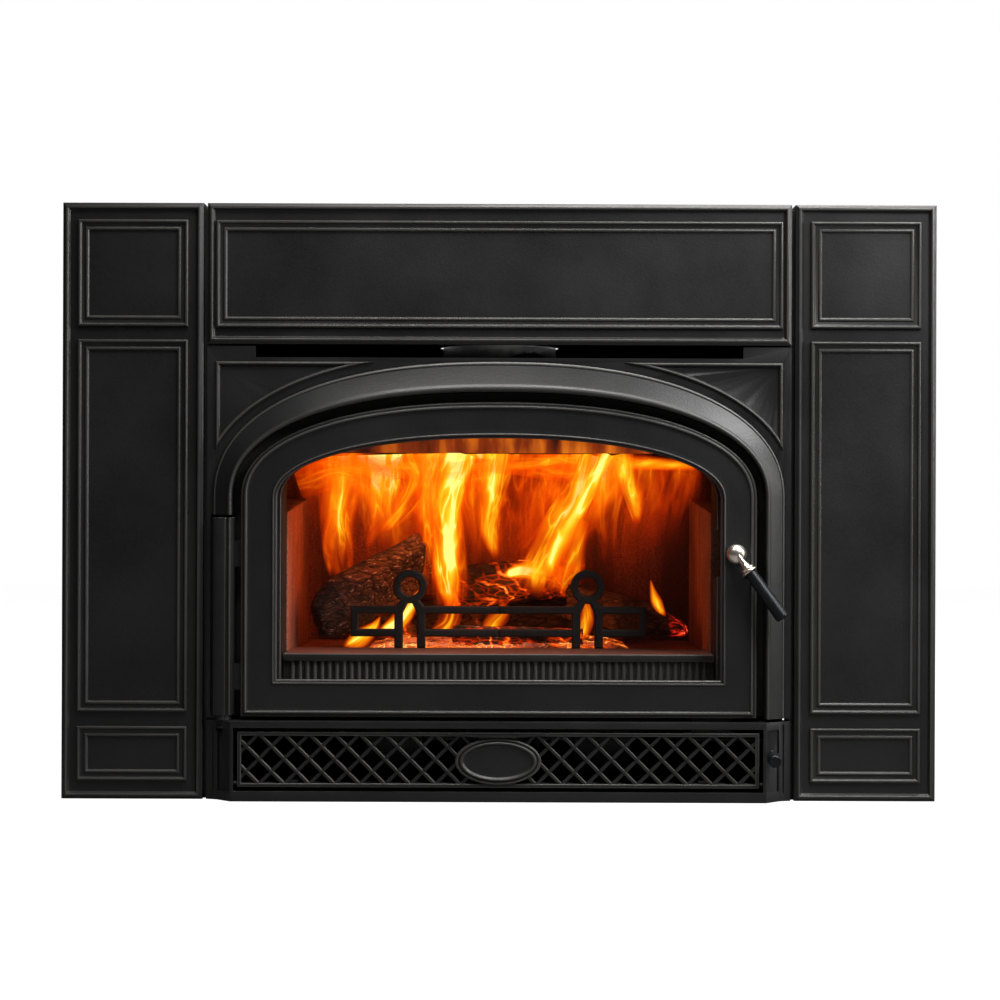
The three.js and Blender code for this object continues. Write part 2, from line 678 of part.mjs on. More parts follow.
const lean = THREE.MathUtils.degToRad(handleLean);
const tilt = THREE.MathUtils.degToRad(handleTilt);
const armDirection = [Math.sin(lean) * Math.cos(tilt), -Math.sin(tilt), -Math.cos(lean) * Math.cos(tilt)];
const armPoint = (distance) => armDirection.map((d, i) => [latchX, -doorFace - 9,
  latchZ][i] + d * distance);
const tangRadius = 3;
{
  const dome = revolve([[0, 0], [hubRadius - 1, 0], [hubRadius, 1.2], [hubRadius, 3], [hubRadius - 1, 6],
    [hubRadius - 3.6, 9.2], [hubRadius - 8, 11.6], [0, 12.4]], [latchX, -doorFace - seatGap, latchZ],
    [0, -1, 0], 16);
  const neck = revolve([[0, 0], [3.3, 0], [3.4, 8], [4.6, 16], [6.6, neckLength - 7],
    [8.4, neckLength - 6],
    [collarRadius - 1.4, neckLength - 5], [7.8, neckLength - 3.6], [collarRadius, neckLength - 2.2],
    [collarRadius, neckLength], [tangRadius, neckLength], [tangRadius, neckLength + 30],
    [0, neckLength + 30]],
    armPoint(0), armDirection, 14);
  const socket = rod([latchX, -doorFace - 7, latchZ], [0, 1, 0], 8, shaftRadius + seatGap / 2, 20);
  place('handle_hub', cut(join(dome, neck), socket), nickel);
  const gripStart = neckLength + seatGap;
  const bore = tangRadius + seatGap / 2;
  const grip = revolve([[bore, 0], [gripRadius - 0.6, 0], [gripRadius, 0.8],
    [gripEndRadius, gripLength - 2.2],
    [gripEndRadius - 0.9, gripLength - 0.6], [gripEndRadius - 1.8, gripLength], [0, gripLength], [0, 31],
    [bore, 31],
    [bore, 0]], armPoint(gripStart), armDirection, 18);
  place('handle_grip', grip, gripBlack);
  const pawlFront = frameBack + 2;
  const pawlWall = 6;
  const shaftStart = -doorFace - 6.5;
  const shaft = rod([latchX, shaftStart, latchZ], [0, 1, 0], pawlFront + pawlWall + 6 - shaftStart,
    shaftRadius, 14);
  const nut = rod([latchX, pawlFront + pawlWall + seatGap, latchZ], [0, 1, 0], 4.5, 7.5, 6);
  const shoulder = rod([latchX, pawlFront - 4 - seatGap, latchZ], [0, 1, 0], 4, 7, 14);
  place('latch_shaft', join(shaft, nut, shoulder), zincSteel);
  const pawlOutline = [[-8, -7], [0, -8.6], [6, -7.5], [pawlReach - 0.6, -5], [pawlReach, -2],
    [pawlReach, 4],
    [pawlReach - 1.4, 7], [6, 8.4], [0, 8.6], [-7, 7], [-9, 0]].map(([x, z]) => [latchX + x, latchZ + z]);
  const pawl = alongY(pawlOutline, pawlFront, pawlFront + pawlWall,
    { holes: [circle(latchX, latchZ, shaftRadius + seatGap / 2, 20)] });
  place('latch_pawl', pawl, steelBlack);
}

// ---- lower frame ----

const lowerPath = [
  [-centreHalf, -surroundStandoff], [-centreHalf + 6.5, -surroundStandoff - 1.5],
  [-lowerChamferHalf, -lowerChamferFace],
  [-lowerFlatHalf, -lowerFace], [lowerFlatHalf, -lowerFace], [lowerChamferHalf, -lowerChamferFace],
  [centreHalf - 6.5, -surroundStandoff - 1.5], [centreHalf, -surroundStandoff],
];
const airAngle = THREE.MathUtils.degToRad(airTilt);
const airDirection = [0, -Math.cos(airAngle), -Math.sin(airAngle)];
const airStart = [airRodX, -(lowerFace - 8), airRodZ];
const airPoint = (distance) => airDirection.map((d, i) => airStart[i] + d * distance);
const grilleTop = grilleBottom + grilleHeight;
const grilleAxisY = -(grilleFace - 7);
const grilleAxisZ = grilleBottom + 4;
const openHalf = grilleHalf + grilleGap;
const rodEnd = openHalf + 4;
{
  const wall = alongZ([...lowerPath, ...lowerPath.map(([x, y]) => [x, y + lowerWall]).reverse()], 0,
    lowerHeight);
  const plan = [...lowerPath, [centreHalf, lowerBack], [-centreHalf, lowerBack]];
  const topRail = alongZ(plan, lowerHeight - lowerRail, lowerHeight);
  const bottomRail = alongZ(plan, 0, lowerRail);
  const window = box(-openHalf, openHalf, -lowerFace - 1, lowerBack + 1, grilleBottom - grilleGap,
    grilleTop + grilleGap);
  const along = (f) => [lowerChamferHalf + (lowerFlatHalf - lowerChamferHalf) * f,
    -lowerChamferFace - (lowerFace - lowerChamferFace) * f];
  const [xa, ya] = along(0.04);
  const [xb, yb] = along(0.94);
  const recess = (side) => alongZ([[xa, ya - 8], [xb, yb - 8], [xb, yb + 2.6], [xa, ya + 2.6]]
    .map(([x, y]) => [side * x, y]), lowerRail + 4, lowerHeight - lowerRail - 1.5);
  const groove = (side) => alongZ([[lowerChamferHalf + 4, -60], [lowerChamferHalf + 6, -60],
    [lowerChamferHalf + 6, -surroundStandoff + 0.8], [lowerChamferHalf + 4, -surroundStandoff + 0.8]]
    .map(([x, y]) => [side * x, y]), lowerRail + 2, lowerHeight - 4);
  const pinBore = rod([hingeX, hingeY, lowerHeight - lowerRail - 8], [0, 0, 1], lowerRail + 9,
    hingePinRadius + runningGap, 20);
  const pinBoss = rod([hingeX, hingeY, lowerHeight - lowerRail - 7], [0, 0, 1], 8, hingePinRadius + 5,
    20);
  const rodHole = rod(airPoint(airTravel), airDirection.map((d) => -d), 2 * airTravel,
    airRodRadius + runningGap, 16);
  const hingeRodHole = rod([-rodEnd - runningGap, grilleAxisY, grilleAxisZ], [1, 0, 0],
    2 * (rodEnd + runningGap),
    grilleRodRadius + runningGap, 12);
  const body = cut(join(wall, topRail, bottomRail, pinBoss), window, recess(-1), recess(1), groove(-1),
    groove(1),
    pinBore, rodHole, hingeRodHole);
  place('lower_frame', body, castBlack);
}

// ---- grille with its lattice and medallion ----

const grilleBack = -(grilleFace - grilleWall);
const lugSpots = [-1, 0, 1].map((side) => side * (grilleHalf - 66.8));
{
  const inner = rectangle(-grilleHalf, grilleHalf, grilleBottom, grilleTop, grilleBand);
  const bandSteps = [[0, grilleFace - grilleWall], [0, grilleFace - 1], [1, grilleFace],
    [grilleBand - 1, grilleFace], [grilleBand, grilleFace - 1], [grilleBand, grilleFace - grilleWall]];
  const band = skin(bandSteps.map(([inset, ahead]) =>
    atY(rectangle(-grilleHalf, grilleHalf, grilleBottom, grilleTop, inset), ahead)));
  const [[x0, z0], , [x1, z1]] = inner;
  const field = box(x0 - 1, x1 + 1, -grilleFace, grilleBack, z0 - 1, z1 + 1);
  // bars at 45 degrees; they cross in the middle row, halfway between the bars' own feet
  const reach = 2 * grilleHeight;
  const barDepth = 3.4;
  const lattice = [];
  const count = Math.ceil((grilleHalf + grilleHeight / 2) / barPitch);
  for (const slope of [-1, 1]) {
    for (let k = -count; k < count; k += 1) {
      const x = (k + 0.5) * barPitch;
      const geometry = new THREE.BoxGeometry(barWidth, barDepth, reach);
      geometry.rotateY((slope * Math.PI) / 4).translate(x, grilleBack + 0.4 - barDepth / 2,
        latticeMiddle);
      lattice.push(solid(geometry));
    }
  }
  const steps = [[0, grilleFace - grilleWall + 0.6], [0, grilleFace + 1], [1.2, grilleFace + 2.2],
    [3, grilleFace + 2.2],
    [4.6, grilleFace + 1], [6.4, grilleFace + 3.6], [8.8, grilleFace + 3.6], [11.2, grilleFace + 1.4]];
  const oval = (inset) => ellipse(medallionHalfWidth - inset, medallionHalfHeight - inset * 0.82, 0,
    medallionZ, 32);
  const medallion = skin(steps.map(([inset, ahead]) => atY(oval(inset), ahead)), oval(0));
  const behind = alongY(oval(4), -grilleFace - 1, grilleBack + 1);
  const bars = join(...lattice).intersect(field).subtract(behind);
  // curved finger lip above the medallion
  const chord = 60.5;
  const sag = 3.6;
  const lipSteps = 12;
  const curve = (lift) => Array.from({ length: lipSteps + 1 }, (_, i) => {
    const u = -1 + (2 * i) / lipSteps;
    return [chord * u, grilleTop - 2.6 - sag * (1 - u * u) + lift];
  });
  const lip = alongY([...curve(0), ...curve(2.2).reverse()], -grilleFace - 4, -grilleFace + 1);
  const lugs = lugSpots.map((x) => box(x - 7, x + 7, grilleBack - 1, grilleAxisY + grilleRodRadius + 3,
    grilleBottom + 0.4, grilleAxisZ + grilleRodRadius + 2.5));
  const rodBore = rod([-grilleHalf, grilleAxisY, grilleAxisZ], [1, 0, 0], 2 * grilleHalf,
    grilleRodRadius + seatGap / 2, 12);
  place('grille', cut(join(band, bars, medallion, lip, ...lugs), rodBore), castBlack);
  place('grille_hinge_rod', rod([-rodEnd, grilleAxisY, grilleAxisZ], [1, 0, 0], 2 * rodEnd,
    grilleRodRadius, 12),
    zincSteel);
}

// ---- air control ----

const airUp = [0, -Math.sin(airAngle), Math.cos(airAngle)];
const damperWall = 3;
const ductX = [shellHalf - 69, shellHalf - 19];
const ductY = [0, 60];
const airHeight = (y) => airStart[2] + (y - airStart[1]) * Math.tan(airAngle);
{
  const knob = revolve([[0, 0], [knobRadius - 3, 0], [knobRadius - 3.4, 6], [knobRadius - 1, 12],
    [knobRadius, 16],
    [knobRadius, knobLength - 2], [knobRadius - 1.5, knobLength], [0, knobLength]], airPoint(6),
    airDirection, 20);
  const socket = rod(airPoint(5), airDirection, 16, airRodRadius + seatGap / 2, 16);
  place('air_knob', cut(knob, socket), gripBlack);
  const shaft = rod(airPoint(20), airDirection.map((d) => -d), 90, airRodRadius, 16);
  // the damper plate lies along the rod's slope and shuts the duct at rest
  const length = (ductY[1] - ductY[0] + 12) / Math.cos(airAngle);
  const plate = new THREE.BoxGeometry(airRodX + 8 - (ductX[0] - 5), length, damperWall);
  plate.rotateX(airAngle);
  const middleY = (ductY[0] + ductY[1]) / 2;
  plate.translate((airRodX + 8 + ductX[0] - 5) / 2, middleY, airHeight(middleY));
  place('air_slide', join(shaft, solid(plate)), steelBlack);
  const ductWall = 2;
  const top = shellBottom - seatGap;
  const below = damperWall / 2 / Math.cos(airAngle) + runningGap;
  const [y0, y1] = ductY;
  const side = [[y0, airHeight(y0) + below], [y1, airHeight(y1) + below], [y1, top], [y0, top]];
  const outer = alongX(side, ...ductX);
  const inner = box(ductX[0] + ductWall, ductX[1] - ductWall, y0 + ductWall, y1 - ductWall, 0, top + 1);
  place('air_duct', cut(outer, inner), steelBlack);
}

// ---- firebox ----

const shellInner = shellHalf - shellWall;
const bricksBack = shellBack - shellWall - seatGap;
const lidHole = circle(0, collarY, collarBore, 28);
{
  const outer = box(-shellHalf, shellHalf, shellFront, shellBack, shellBottom, shellTop);
  const inner = box(-shellInner, shellInner, shellFront - 1, shellBack - shellWall, floorTop,
    shellTop - shellWall);
  const flue = alongZ(lidHole, shellTop - 10, shellTop + 10);
  const inlet = box(ductX[0] + 2, ductX[1] - 2 - 20, ductY[0] + 4, ductY[1] - 4, shellBottom - 1,
    floorTop + 1);
  const strikeNotch = box(strikeX - seatGap, shellHalf + 1, shellFront - 1, shellFront + 9 + seatGap,
    latchZ - strikeHalf - seatGap, latchZ + strikeHalf + seatGap);
  place('firebox_shell', cut(outer, inner, flue, inlet, strikeNotch), steelBlack);
}

const sideBrickInner = shellInner - seatGap - brickWall;
const ledgeHalf = Math.min(throatHalf, sideBrickInner) - 0.7;
const ledgeFront = frameBack + seatGap + 0.3;
const ledgeBack = ledgeFront + ledgeDepth;
{
  const half = ledgeHalf;
  const bottom = floorTop + seatGap;
  const wall = 6;
  const top = box(-half, half, ledgeFront, ledgeBack, ledgeTop - ledgeLip, ledgeTop);
  const back = box(-half, half, ledgeBack - wall, ledgeBack, bottom, ledgeTop - ledgeLip + 1);
  const ends = [-1, 1].map((side) => sideBox(side, half - wall, half, ledgeFront + 3, ledgeBack, bottom,
    ledgeTop - ledgeLip + 1));
  // fluted riser: hollows between narrow lands
  const fluted = [];
  const flutes = Math.floor((2 * half - 8) / flutePitch);
  for (let i = 0; i < flutes; i += 1) {
    const x = (i - flutes / 2) * flutePitch;
    fluted.push([x, ledgeFront + 2], [x + flutePitch * 0.3, ledgeFront + 2],
      [x + flutePitch * 0.65, ledgeFront + 5]);
  }
  const riser = alongZ([[-half, ledgeFront + 2], ...fluted, [half, ledgeFront + 2],
    [half, ledgeFront + 9],
    [-half, ledgeFront + 9]], bottom, ledgeTop - ledgeLip + 1);
  place('hearth_ledge', join(top, back, ...ends, riser), castBlack);
}

const brickFloorBottom = floorTop + seatGap;
const backBrickFront = bricksBack - brickWall;
const sideFront = frameBack + jambDepth + seatGap;
const sideBack = backBrickFront - seatGap;
place('floor_bricks', box(-sideBrickInner + 2, sideBrickInner - 2, ledgeBack + seatGap, sideBack,
  brickFloorBottom,
  floorBrickTop), firebrick);
for (const [side, word] of [[-1, 'left'], [1, 'right']]) {
  const middle = (sideFront + sideBack) / 2;
  const slope = (sideBrickBackTop - sideBrickFrontTop) / (sideBack - sideFront);
  const topAt = (y) => sideBrickFrontTop + slope * (y - sideFront);
  for (const [y0, y1, end] of [[sideFront, middle - brickJoint / 2, 'front'],
    [middle + brickJoint / 2, sideBack, 'rear']]) {
    const [near, far] = side > 0 ? [sideBrickInner, shellInner - seatGap] : [-shellInner + seatGap,
      -sideBrickInner];
    const brick = alongX([[y0, brickFloorBottom], [y1, brickFloorBottom], [y1, topAt(y1)],
      [y0, topAt(y0)]], near, far);
    place(`${word}_brick_${end}`, brick, firebrick);
  }
}
const backBrickWidth = (2 * (shellInner - seatGap) - 2 * brickJoint) / 3;
['left', 'middle', 'right'].forEach((word, i) => {
  const x0 = -shellInner + seatGap + i * (backBrickWidth + brickJoint);
  place(`back_brick_${word}`, box(x0, x0 + backBrickWidth, backBrickFront, bricksBack, brickFloorBottom,
    backBrickTop),
    firebrick);
});

const lastTubeY = backBrickFront - lastTubeGap;
const tubeRows = [firstTubeY, (firstTubeY + lastTubeY) / 2, lastTubeY];
tubeRows.forEach((y, i) => {
  place(`air_tube_${i + 1}`, rod([-shellInner + seatGap, y, tubeZ], [1, 0, 0], 2 * (shellInner - seatGap),
    tubeRadius, 12),
    steelBlack);
});
const baffleBottom = tubeZ + tubeRadius + seatGap;
place('baffle_board', box(-shellInner + 2, shellInner - 2, tubeRows[0] - 15, tubeRows[2] + 45,
  baffleBottom,
  baffleBottom + baffleWall), board);
{
  const front = frameBack + 27;
  const wall = 4;
  const top = washBarBottom + washBarHeight;
  const channel = [[front, washBarBottom], [front + wall, washBarBottom], [front + wall, top - wall],
    [front + 24, top - wall],
    [front + 24, washBarBottom + 8], [front + 28, washBarBottom + 8], [front + 28, top], [front, top]];
  place('air_wash_bar', alongX(channel, -throatHalf + seatGap, throatHalf - seatGap), steelBlack);
}

// ---- andirons ----

{
  const front = andironY;
  const back = andironY + andironWall;
  const foot = ledgeTop + seatGap;
  const bevel = 1.6;
  const piece = (outline, holes = []) => alongY(outline, front, back, { holes, bevel });
  const parts = [];
  for (const side of [-1, 1]) {
    const cx = side * andironRingX;
    const flip = (outline) => outline.map(([x, z]) => [cx + x, andironRingZ + z]);
    parts.push(piece(circle(cx, andironRingZ, andironRingRadius, 20),
      [circle(cx, andironRingZ, andironHole, 16)]));
    const leg = [[-20, foot - andironRingZ], [-9, foot - andironRingZ], [-9, -34], [-2.5, -21], [-9, -15],
      [-17, -23], [-20, -31]];
    parts.push(piece(flip(leg)), piece(flip(leg.map(([x, z]) => [-x, z]).reverse())));
    const outer = side > 0 ? [andironRingX + 12, andironEndHalf] : [-andironEndHalf, -andironRingX - 12];
    for (const z of [andironLowBar, andironHighBar]) {
      parts.push(piece(rectangle(...outer, z, z + andironBar)));
      parts.push(piece(rectangle(side > 0 ? 0 : -andironRingX + 12, side > 0 ? andironRingX - 12 : 0, z,
        z + andironBar)));
    }
    const end = side > 0 ? [andironEndHalf - andironBar, andironEndHalf] : [-andironEndHalf,
      -andironEndHalf + andironBar];
    parts.push(piece(rectangle(...end, andironLowBar, andironHighBar + andironBar)));
  }
  const link = [andironLowBar, andironHighBar].map((z) => alongY(rectangle(-4, 4, z + 0.1,
    z + andironBar - 0.1),
    front + bevel, back - bevel));
  place('andirons', join(...parts, ...link), castBlack);
}

// ---- logs ----

const logSteps = 8;
const logSides = 10;

// an end is given by its share of the way from the middle to a side brick, and by how far it lies behind
// the andirons and above the floor bricks in a firebed 229 mm deep; the logs are cut to suit the firebed
const firebedFront = andironY + andironWall;
const logScale = (backBrickFront - firebedFront) / 229;
const logs = {
  log_back: { from: [-0.6374, 181, 33], to: [0.6674, 184, 31], radius: 38, taper: 0.1, split: false,
    phase: 0.4 },
  log_centre: { from: [-0.2625, 134, 70], to: [0.3600, 170, 92], radius: 34, taper: 0.15, split: true,
    phase: 1.9 },
  log_left: { from: [-0.8999, 46, 32], to: [-0.3675, 134, 116], radius: 39, taper: 0.12, split: true,
    phase: 2.6 },
  log_right: { from: [0.3600, 122, 56], to: [0.9224, 48, 22], radius: 31, taper: 0.25, split: true,
    phase: 0.7 },
  log_front: { from: [-0.2325, 40, 16], to: [0.4199, 48, 15], radius: 18, taper: 0.1, split: false,
    phase: 3.1 },
};

// a log from end to end; split ones have two flat faces and a bark back
function log({ from, to, radius, taper, split, phase }, grow = 0) {
  const end = ([across, behind, above]) => new THREE.Vector3(across * sideBrickInner,
    firebedFront + behind * logScale, floorBrickTop + above * logScale);
  const start = end(from);
  const axis = end(to).sub(start);
  const length = axis.length();
  const turn = new THREE.Quaternion().setFromUnitVectors(new THREE.Vector3(1, 0, 0),
    axis.clone().normalize());
  const rings = [];
  for (let i = 0; i <= logSteps; i += 1) {
    const t = i / logSteps;
    const ring = [];
    for (let j = 0; j < logSides; j += 1) {
      const angle = (2 * Math.PI * j) / logSides + phase;
      const rough = 1 + 0.06 * Math.sin(3 * angle + 5 * t + phase) + 0.04 * Math.sin(5 * angle - 9 * t);
      const across = split ? Math.min(1, 0.62 / Math.max(0.4,
        Math.abs(Math.cos(angle - phase - 0.9)))) : 1;
      const size = radius * logScale * (1 - taper * t) * rough * across + grow;
      const point = new THREE.Vector3(t * length, size * Math.cos(angle), size * Math.sin(angle));
      point.applyQuaternion(turn).add(start);
      ring.push([point.x, point.y + 4 * logScale * Math.sin(4 * t + phase), point.z]);
    }
    rings.push(ring);
  }
  return skin(rings, circle(0, 0, 1, logSides));
}
{
  const bed = box(-casingHalf, casingHalf, 0, casingDepth, 0, floorBrickTop + seatGap);
  const laid = [];
  for (const [name, shape] of Object.entries(logs)) {
    const trimmed = cut(log(shape), bed, ...laid.map((other) => log(other, seatGap + 0.1)));
    place(name, trimmed, wood);
    laid.push(shape);
  }
}

// ---- casing, pan, collar ----

{
  const front = ribBack + seatGap;
  const profile = (inset) => [[front - (inset ? 1 : 0), inset ? -1 : 0],
    [casingDepth - inset, inset ? -1 : 0],
    [casingDepth - inset, casingHeight - 63 - inset], [casingDepth - 62 - inset / 2, casingHeight - inset],
    [front - (inset ? 1 : 0), casingHeight - inset]];
  const shell = cut(alongX(profile(0), -casingHalf, casingHalf),
    alongX(profile(casingWall), -casingHalf + casingWall, casingHalf - casingWall));
  const flue = alongZ(circle(0, collarY, collarOuter + 4, 28), casingHeight - 20, casingHeight + 20);
  place('casing', cut(shell, flue), steelBlack);
}

const boltX = casingHalf - 40;
const boltY = casingDepth - 26;
const boltRadius = 5;
{
  const half = casingHalf - casingWall - seatGap;
  const back = casingDepth - casingWall - seatGap;
  const floor = box(-half, half, lowerBack + seatGap, back, 0, panWall);
  const lips = [-1, 1].map((side) => sideBox(side, half - panWall, half, lowerBack + seatGap, back, 0,
    18));
  const backLip = box(-half, half, back - panWall, back, 0, 18);
  const webs = [-1, 1].map((side) => sideBox(side, shellHalf - 5, shellHalf - 2, 160, shellBack - 6, 0,
    shellBottom - seatGap));
  const holes = [-1, 1].map((side) => rod([side * boltX, boltY, -1], [0, 0, 1], panWall + 2,
    boltRadius + seatGap, 12));
  place('base_pan', cut(join(floor, ...lips, backLip, ...webs), ...holes), steelBlack);
}
for (const [side, word] of [[-1, 'left'], [1, 'right']]) {
  const at = (z) => [side * boltX, boltY, z];
  const shank = rod(at(0), [0, 0, 1], 40, boltRadius, 12);
  const head = rod(at(34), [0, 0, 1], 7, 9, 6);
  const nut = rod(at(panWall + seatGap), [0, 0, 1], 8, 9.5, 6);
  place(`levelling_bolt_${word}`, join(shank, head, nut), zincSteel);
}

const collarFoot = shellTop + seatGap;
place('flue_collar', revolve([[collarBore, 0], [collarOuter + 16, 0], [collarOuter + 16, 4],
  [collarOuter + 2, 5],
  [collarOuter, 8], [collarOuter, collarTop - collarFoot], [collarBore, collarTop - collarFoot],
  [collarBore, 0]],
  [0, collarY, collarFoot], [0, 0, 1], 28), steelBlack);

// ---- blower ----

// seen along x, the scroll grows from below the wheel over the front and top to an outlet at the back
function scrollOutline(inset, outletEnd) {
  const tongue = THREE.MathUtils.degToRad(20);
  const sweep = 1.5 * Math.PI - tongue;
  const points = [];
  for (let i = 0; i <= scrollSteps; i += 1) {
    const angle = -tongue - (sweep * i) / scrollSteps;
    const radius = scrollStart + (scrollGrowth * i) / scrollSteps - inset;
    points.push([blowerY + radius * Math.cos(angle), blowerZ + radius * Math.sin(angle)]);
  }
  const top = blowerZ + scrollStart + scrollGrowth - inset;
  const bottom = blowerZ - scrollStart * Math.sin(tongue) + inset;
  points.push([outletEnd, top], [outletEnd, bottom]);
  return points;
}

const outletY = blowerY + 92;
for (const [side, word] of [[-1, 'left'], [1, 'right']]) {
  const wall = 2;
  const middle = side * wheelX;
  const half = scrollWidth / 2;
  const outer = alongX(scrollOutline(0, outletY), middle - half, middle + half);
  const inner = alongX(scrollOutline(wall, outletY + 1), middle - half + wall, middle + half - wall);
  const inlet = rod([middle, blowerY, blowerZ], [side, 0, 0], scrollWidth, wheelRadius - 7, 20);
  const shaftWay = rod([middle, blowerY, blowerZ], [-side, 0, 0], scrollWidth, blowerShaftRadius + 2, 12);
  const foot = box(middle - half, middle + half, blowerY - 30, blowerY + 30, panWall + seatGap,
    panWall + seatGap + wall);
  const post = box(middle - half, middle + half, blowerY - 8, blowerY + 8, panWall + seatGap,
    blowerZ - scrollStart + 1);
  place(`blower_housing_${word}`, cut(join(outer, foot, post), inner, inlet, shaftWay), steelBlack);
}
{
  const start = [-motorHalf, blowerY, blowerZ];
  const shell = revolve([[0, 0], [motorRadius - 10, 0], [motorRadius - 8, 6], [motorRadius, 12],
    [motorRadius, 2 * motorHalf - 12], [motorRadius - 8, 2 * motorHalf - 6],
    [motorRadius - 10, 2 * motorHalf],
    [0, 2 * motorHalf]], start, [1, 0, 0], 20);
  const foot = box(-motorHalf + 14, motorHalf - 14, blowerY - 30, blowerY + 30, panWall + seatGap,
    panWall + seatGap + 3);
  const stem = box(-motorHalf + 20, motorHalf - 20, blowerY - 12, blowerY + 12, panWall + seatGap,
    blowerZ - motorRadius + 4);
  const bore = rod([-motorHalf - 1, blowerY, blowerZ], [1, 0, 0], 2 * motorHalf + 2,
    blowerShaftRadius + runningGap, 16);
  place('blower_motor', cut(join(shell, foot, stem), bore), steelBlack);
}
{
  const reach = wheelX + wheelWidth / 2 + 2;
  const pieces = [rod([-reach, blowerY, blowerZ], [1, 0, 0], 2 * reach, blowerShaftRadius, 12)];
  for (const side of [-1, 1]) {
    // each wheel is a drum of blades between a back plate at the motor's side and an open ring
    const inner = side * (wheelX - wheelWidth / 2);
    const outer = side * (wheelX + wheelWidth / 2);
    const ringWall = 2;
    const disc = (x, radius, length, sides) => rod([x, blowerY, blowerZ], [side, 0, 0], length, radius,
      sides);
    pieces.push(disc(inner, wheelRadius, ringWall, bladeCount),
      disc(inner, blowerShaftRadius + 5, 14, 12));
    const ring = disc(outer - side * ringWall, wheelRadius, ringWall, bladeCount);
    pieces.push(cut(ring, disc(outer - side * (ringWall + 1), wheelRadius - bladeDepth, ringWall + 2,
      bladeCount)));
    for (let i = 0; i < bladeCount; i += 1) {
      const blade = new THREE.BoxGeometry(wheelWidth - ringWall, 1.2, bladeDepth - 1.6);
      blade.rotateX(0.6).translate(0, 0, wheelRadius - bladeDepth / 2 - 0.6);
      blade.rotateX((2 * Math.PI * i) / bladeCount);
      pieces.push(solid(blade.translate(side * wheelX, blowerY, blowerZ)));
    }
  }
  place('blower_rotor', join(...pieces), zincSteel);
}

export default insert;
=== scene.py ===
# Looks of the fireplace insert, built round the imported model. Lengths in the code are millimetres,
# and every mesh is scaled to metres once, when it is made.
import bpy
import bmesh
import json
import math
from mathutils import Vector, Matrix, noise
from mathutils.geometry import tessellate_polygon


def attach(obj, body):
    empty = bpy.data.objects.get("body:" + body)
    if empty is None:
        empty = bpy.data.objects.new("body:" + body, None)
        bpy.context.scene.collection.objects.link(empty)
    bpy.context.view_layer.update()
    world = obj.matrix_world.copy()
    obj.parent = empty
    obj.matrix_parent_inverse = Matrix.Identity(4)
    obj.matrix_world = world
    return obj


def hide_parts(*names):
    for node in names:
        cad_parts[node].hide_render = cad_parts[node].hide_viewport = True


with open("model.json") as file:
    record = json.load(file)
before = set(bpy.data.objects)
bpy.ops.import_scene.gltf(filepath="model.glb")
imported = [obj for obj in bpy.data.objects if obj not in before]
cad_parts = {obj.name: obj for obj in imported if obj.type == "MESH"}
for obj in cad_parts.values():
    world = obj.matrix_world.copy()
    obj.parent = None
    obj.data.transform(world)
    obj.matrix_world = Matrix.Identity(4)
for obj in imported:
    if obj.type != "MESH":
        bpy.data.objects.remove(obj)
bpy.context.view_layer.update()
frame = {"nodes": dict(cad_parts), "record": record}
scene = bpy.context.scene
mm = 0.001
print("frame loaded")

# camera, light and floor

cameraSetup = {"place": (0.0012, -2.434, 0.3664), "lens": 70.6, "roll": -0.2}
cam = bpy.data.objects.new("camera", bpy.data.cameras.new("camera"))
scene.collection.objects.link(cam)
cam.data.lens = cameraSetup["lens"]
cam.data.sensor_width = 36
cam.location = cameraSetup["place"]
cam.rotation_euler = (math.radians(90), math.radians(cameraSetup["roll"]), 0)
scene.camera = cam
scene.view_settings.view_transform = "Standard"

white, warmWhite = (1, 1, 1), (1, 0.98, 0.95)
lamps = {
    "keyRight": {"place": (1.05, -0.80, 1.42), "aim": (0.2, 0, 0.45), "size": (0.6, 0.6), "power": 27,
        "colour": white},
    "edgeTop": {"place": (0.3, -0.34, 1.9), "aim": (0.1, -0.05, 0.4), "size": (1.8, 0.12), "power": 46,
        "colour": warmWhite},
    "edgeRight": {"place": (2.1, -0.50, 1.0), "aim": (0.1, -0.05, 0.45), "size": (0.12, 1.3), "power": 20,
        "colour": (1, 0.98, 0.96)},
    "backLeft": {"place": (-1.9, 2.0, 1.9), "aim": (0, 0.2, 0.3), "size": (1.6, 1.6), "power": 40,
        "colour": white},
    "backRight": {"place": (1.9, 2.2, 1.6), "aim": (0, 0.2, 0.3), "size": (1.6, 1.6), "power": 30,
        "colour": white},
    "fireGlowLeft": {"place": (-0.11, 0.17, 0.34), "power": 2.3, "colour": (1, 0.21, 0.05)},
    "fireGlowRight": {"place": (0.08, 0.20, 0.38), "power": 0.16, "colour": (1, 0.16, 0.03)},
    "fireGlowLow": {"place": (-0.02, 0.10, 0.235), "power": 0.45, "colour": (1, 0.30, 0.07)},
}
glowSoftness = 0.07
for name, lamp in lamps.items():
    data = bpy.data.lights.new(name, "AREA" if "aim" in lamp else "POINT")
    data.energy = lamp["power"]
    data.color = lamp["colour"]
    ob = bpy.data.objects.new(name, data)
    ob.location = lamp["place"]
    if "aim" in lamp:
        data.shape = "RECTANGLE"
        data.size, data.size_y = lamp["size"]
        towards = Vector(lamp["aim"]) - Vector(lamp["place"])
        ob.rotation_euler = towards.to_track_quat("-Z", "Y").to_euler()
    else:
        data.shadow_soft_size = glowSoftness
        ob.visible_glossy = False
    scene.collection.objects.link(ob)

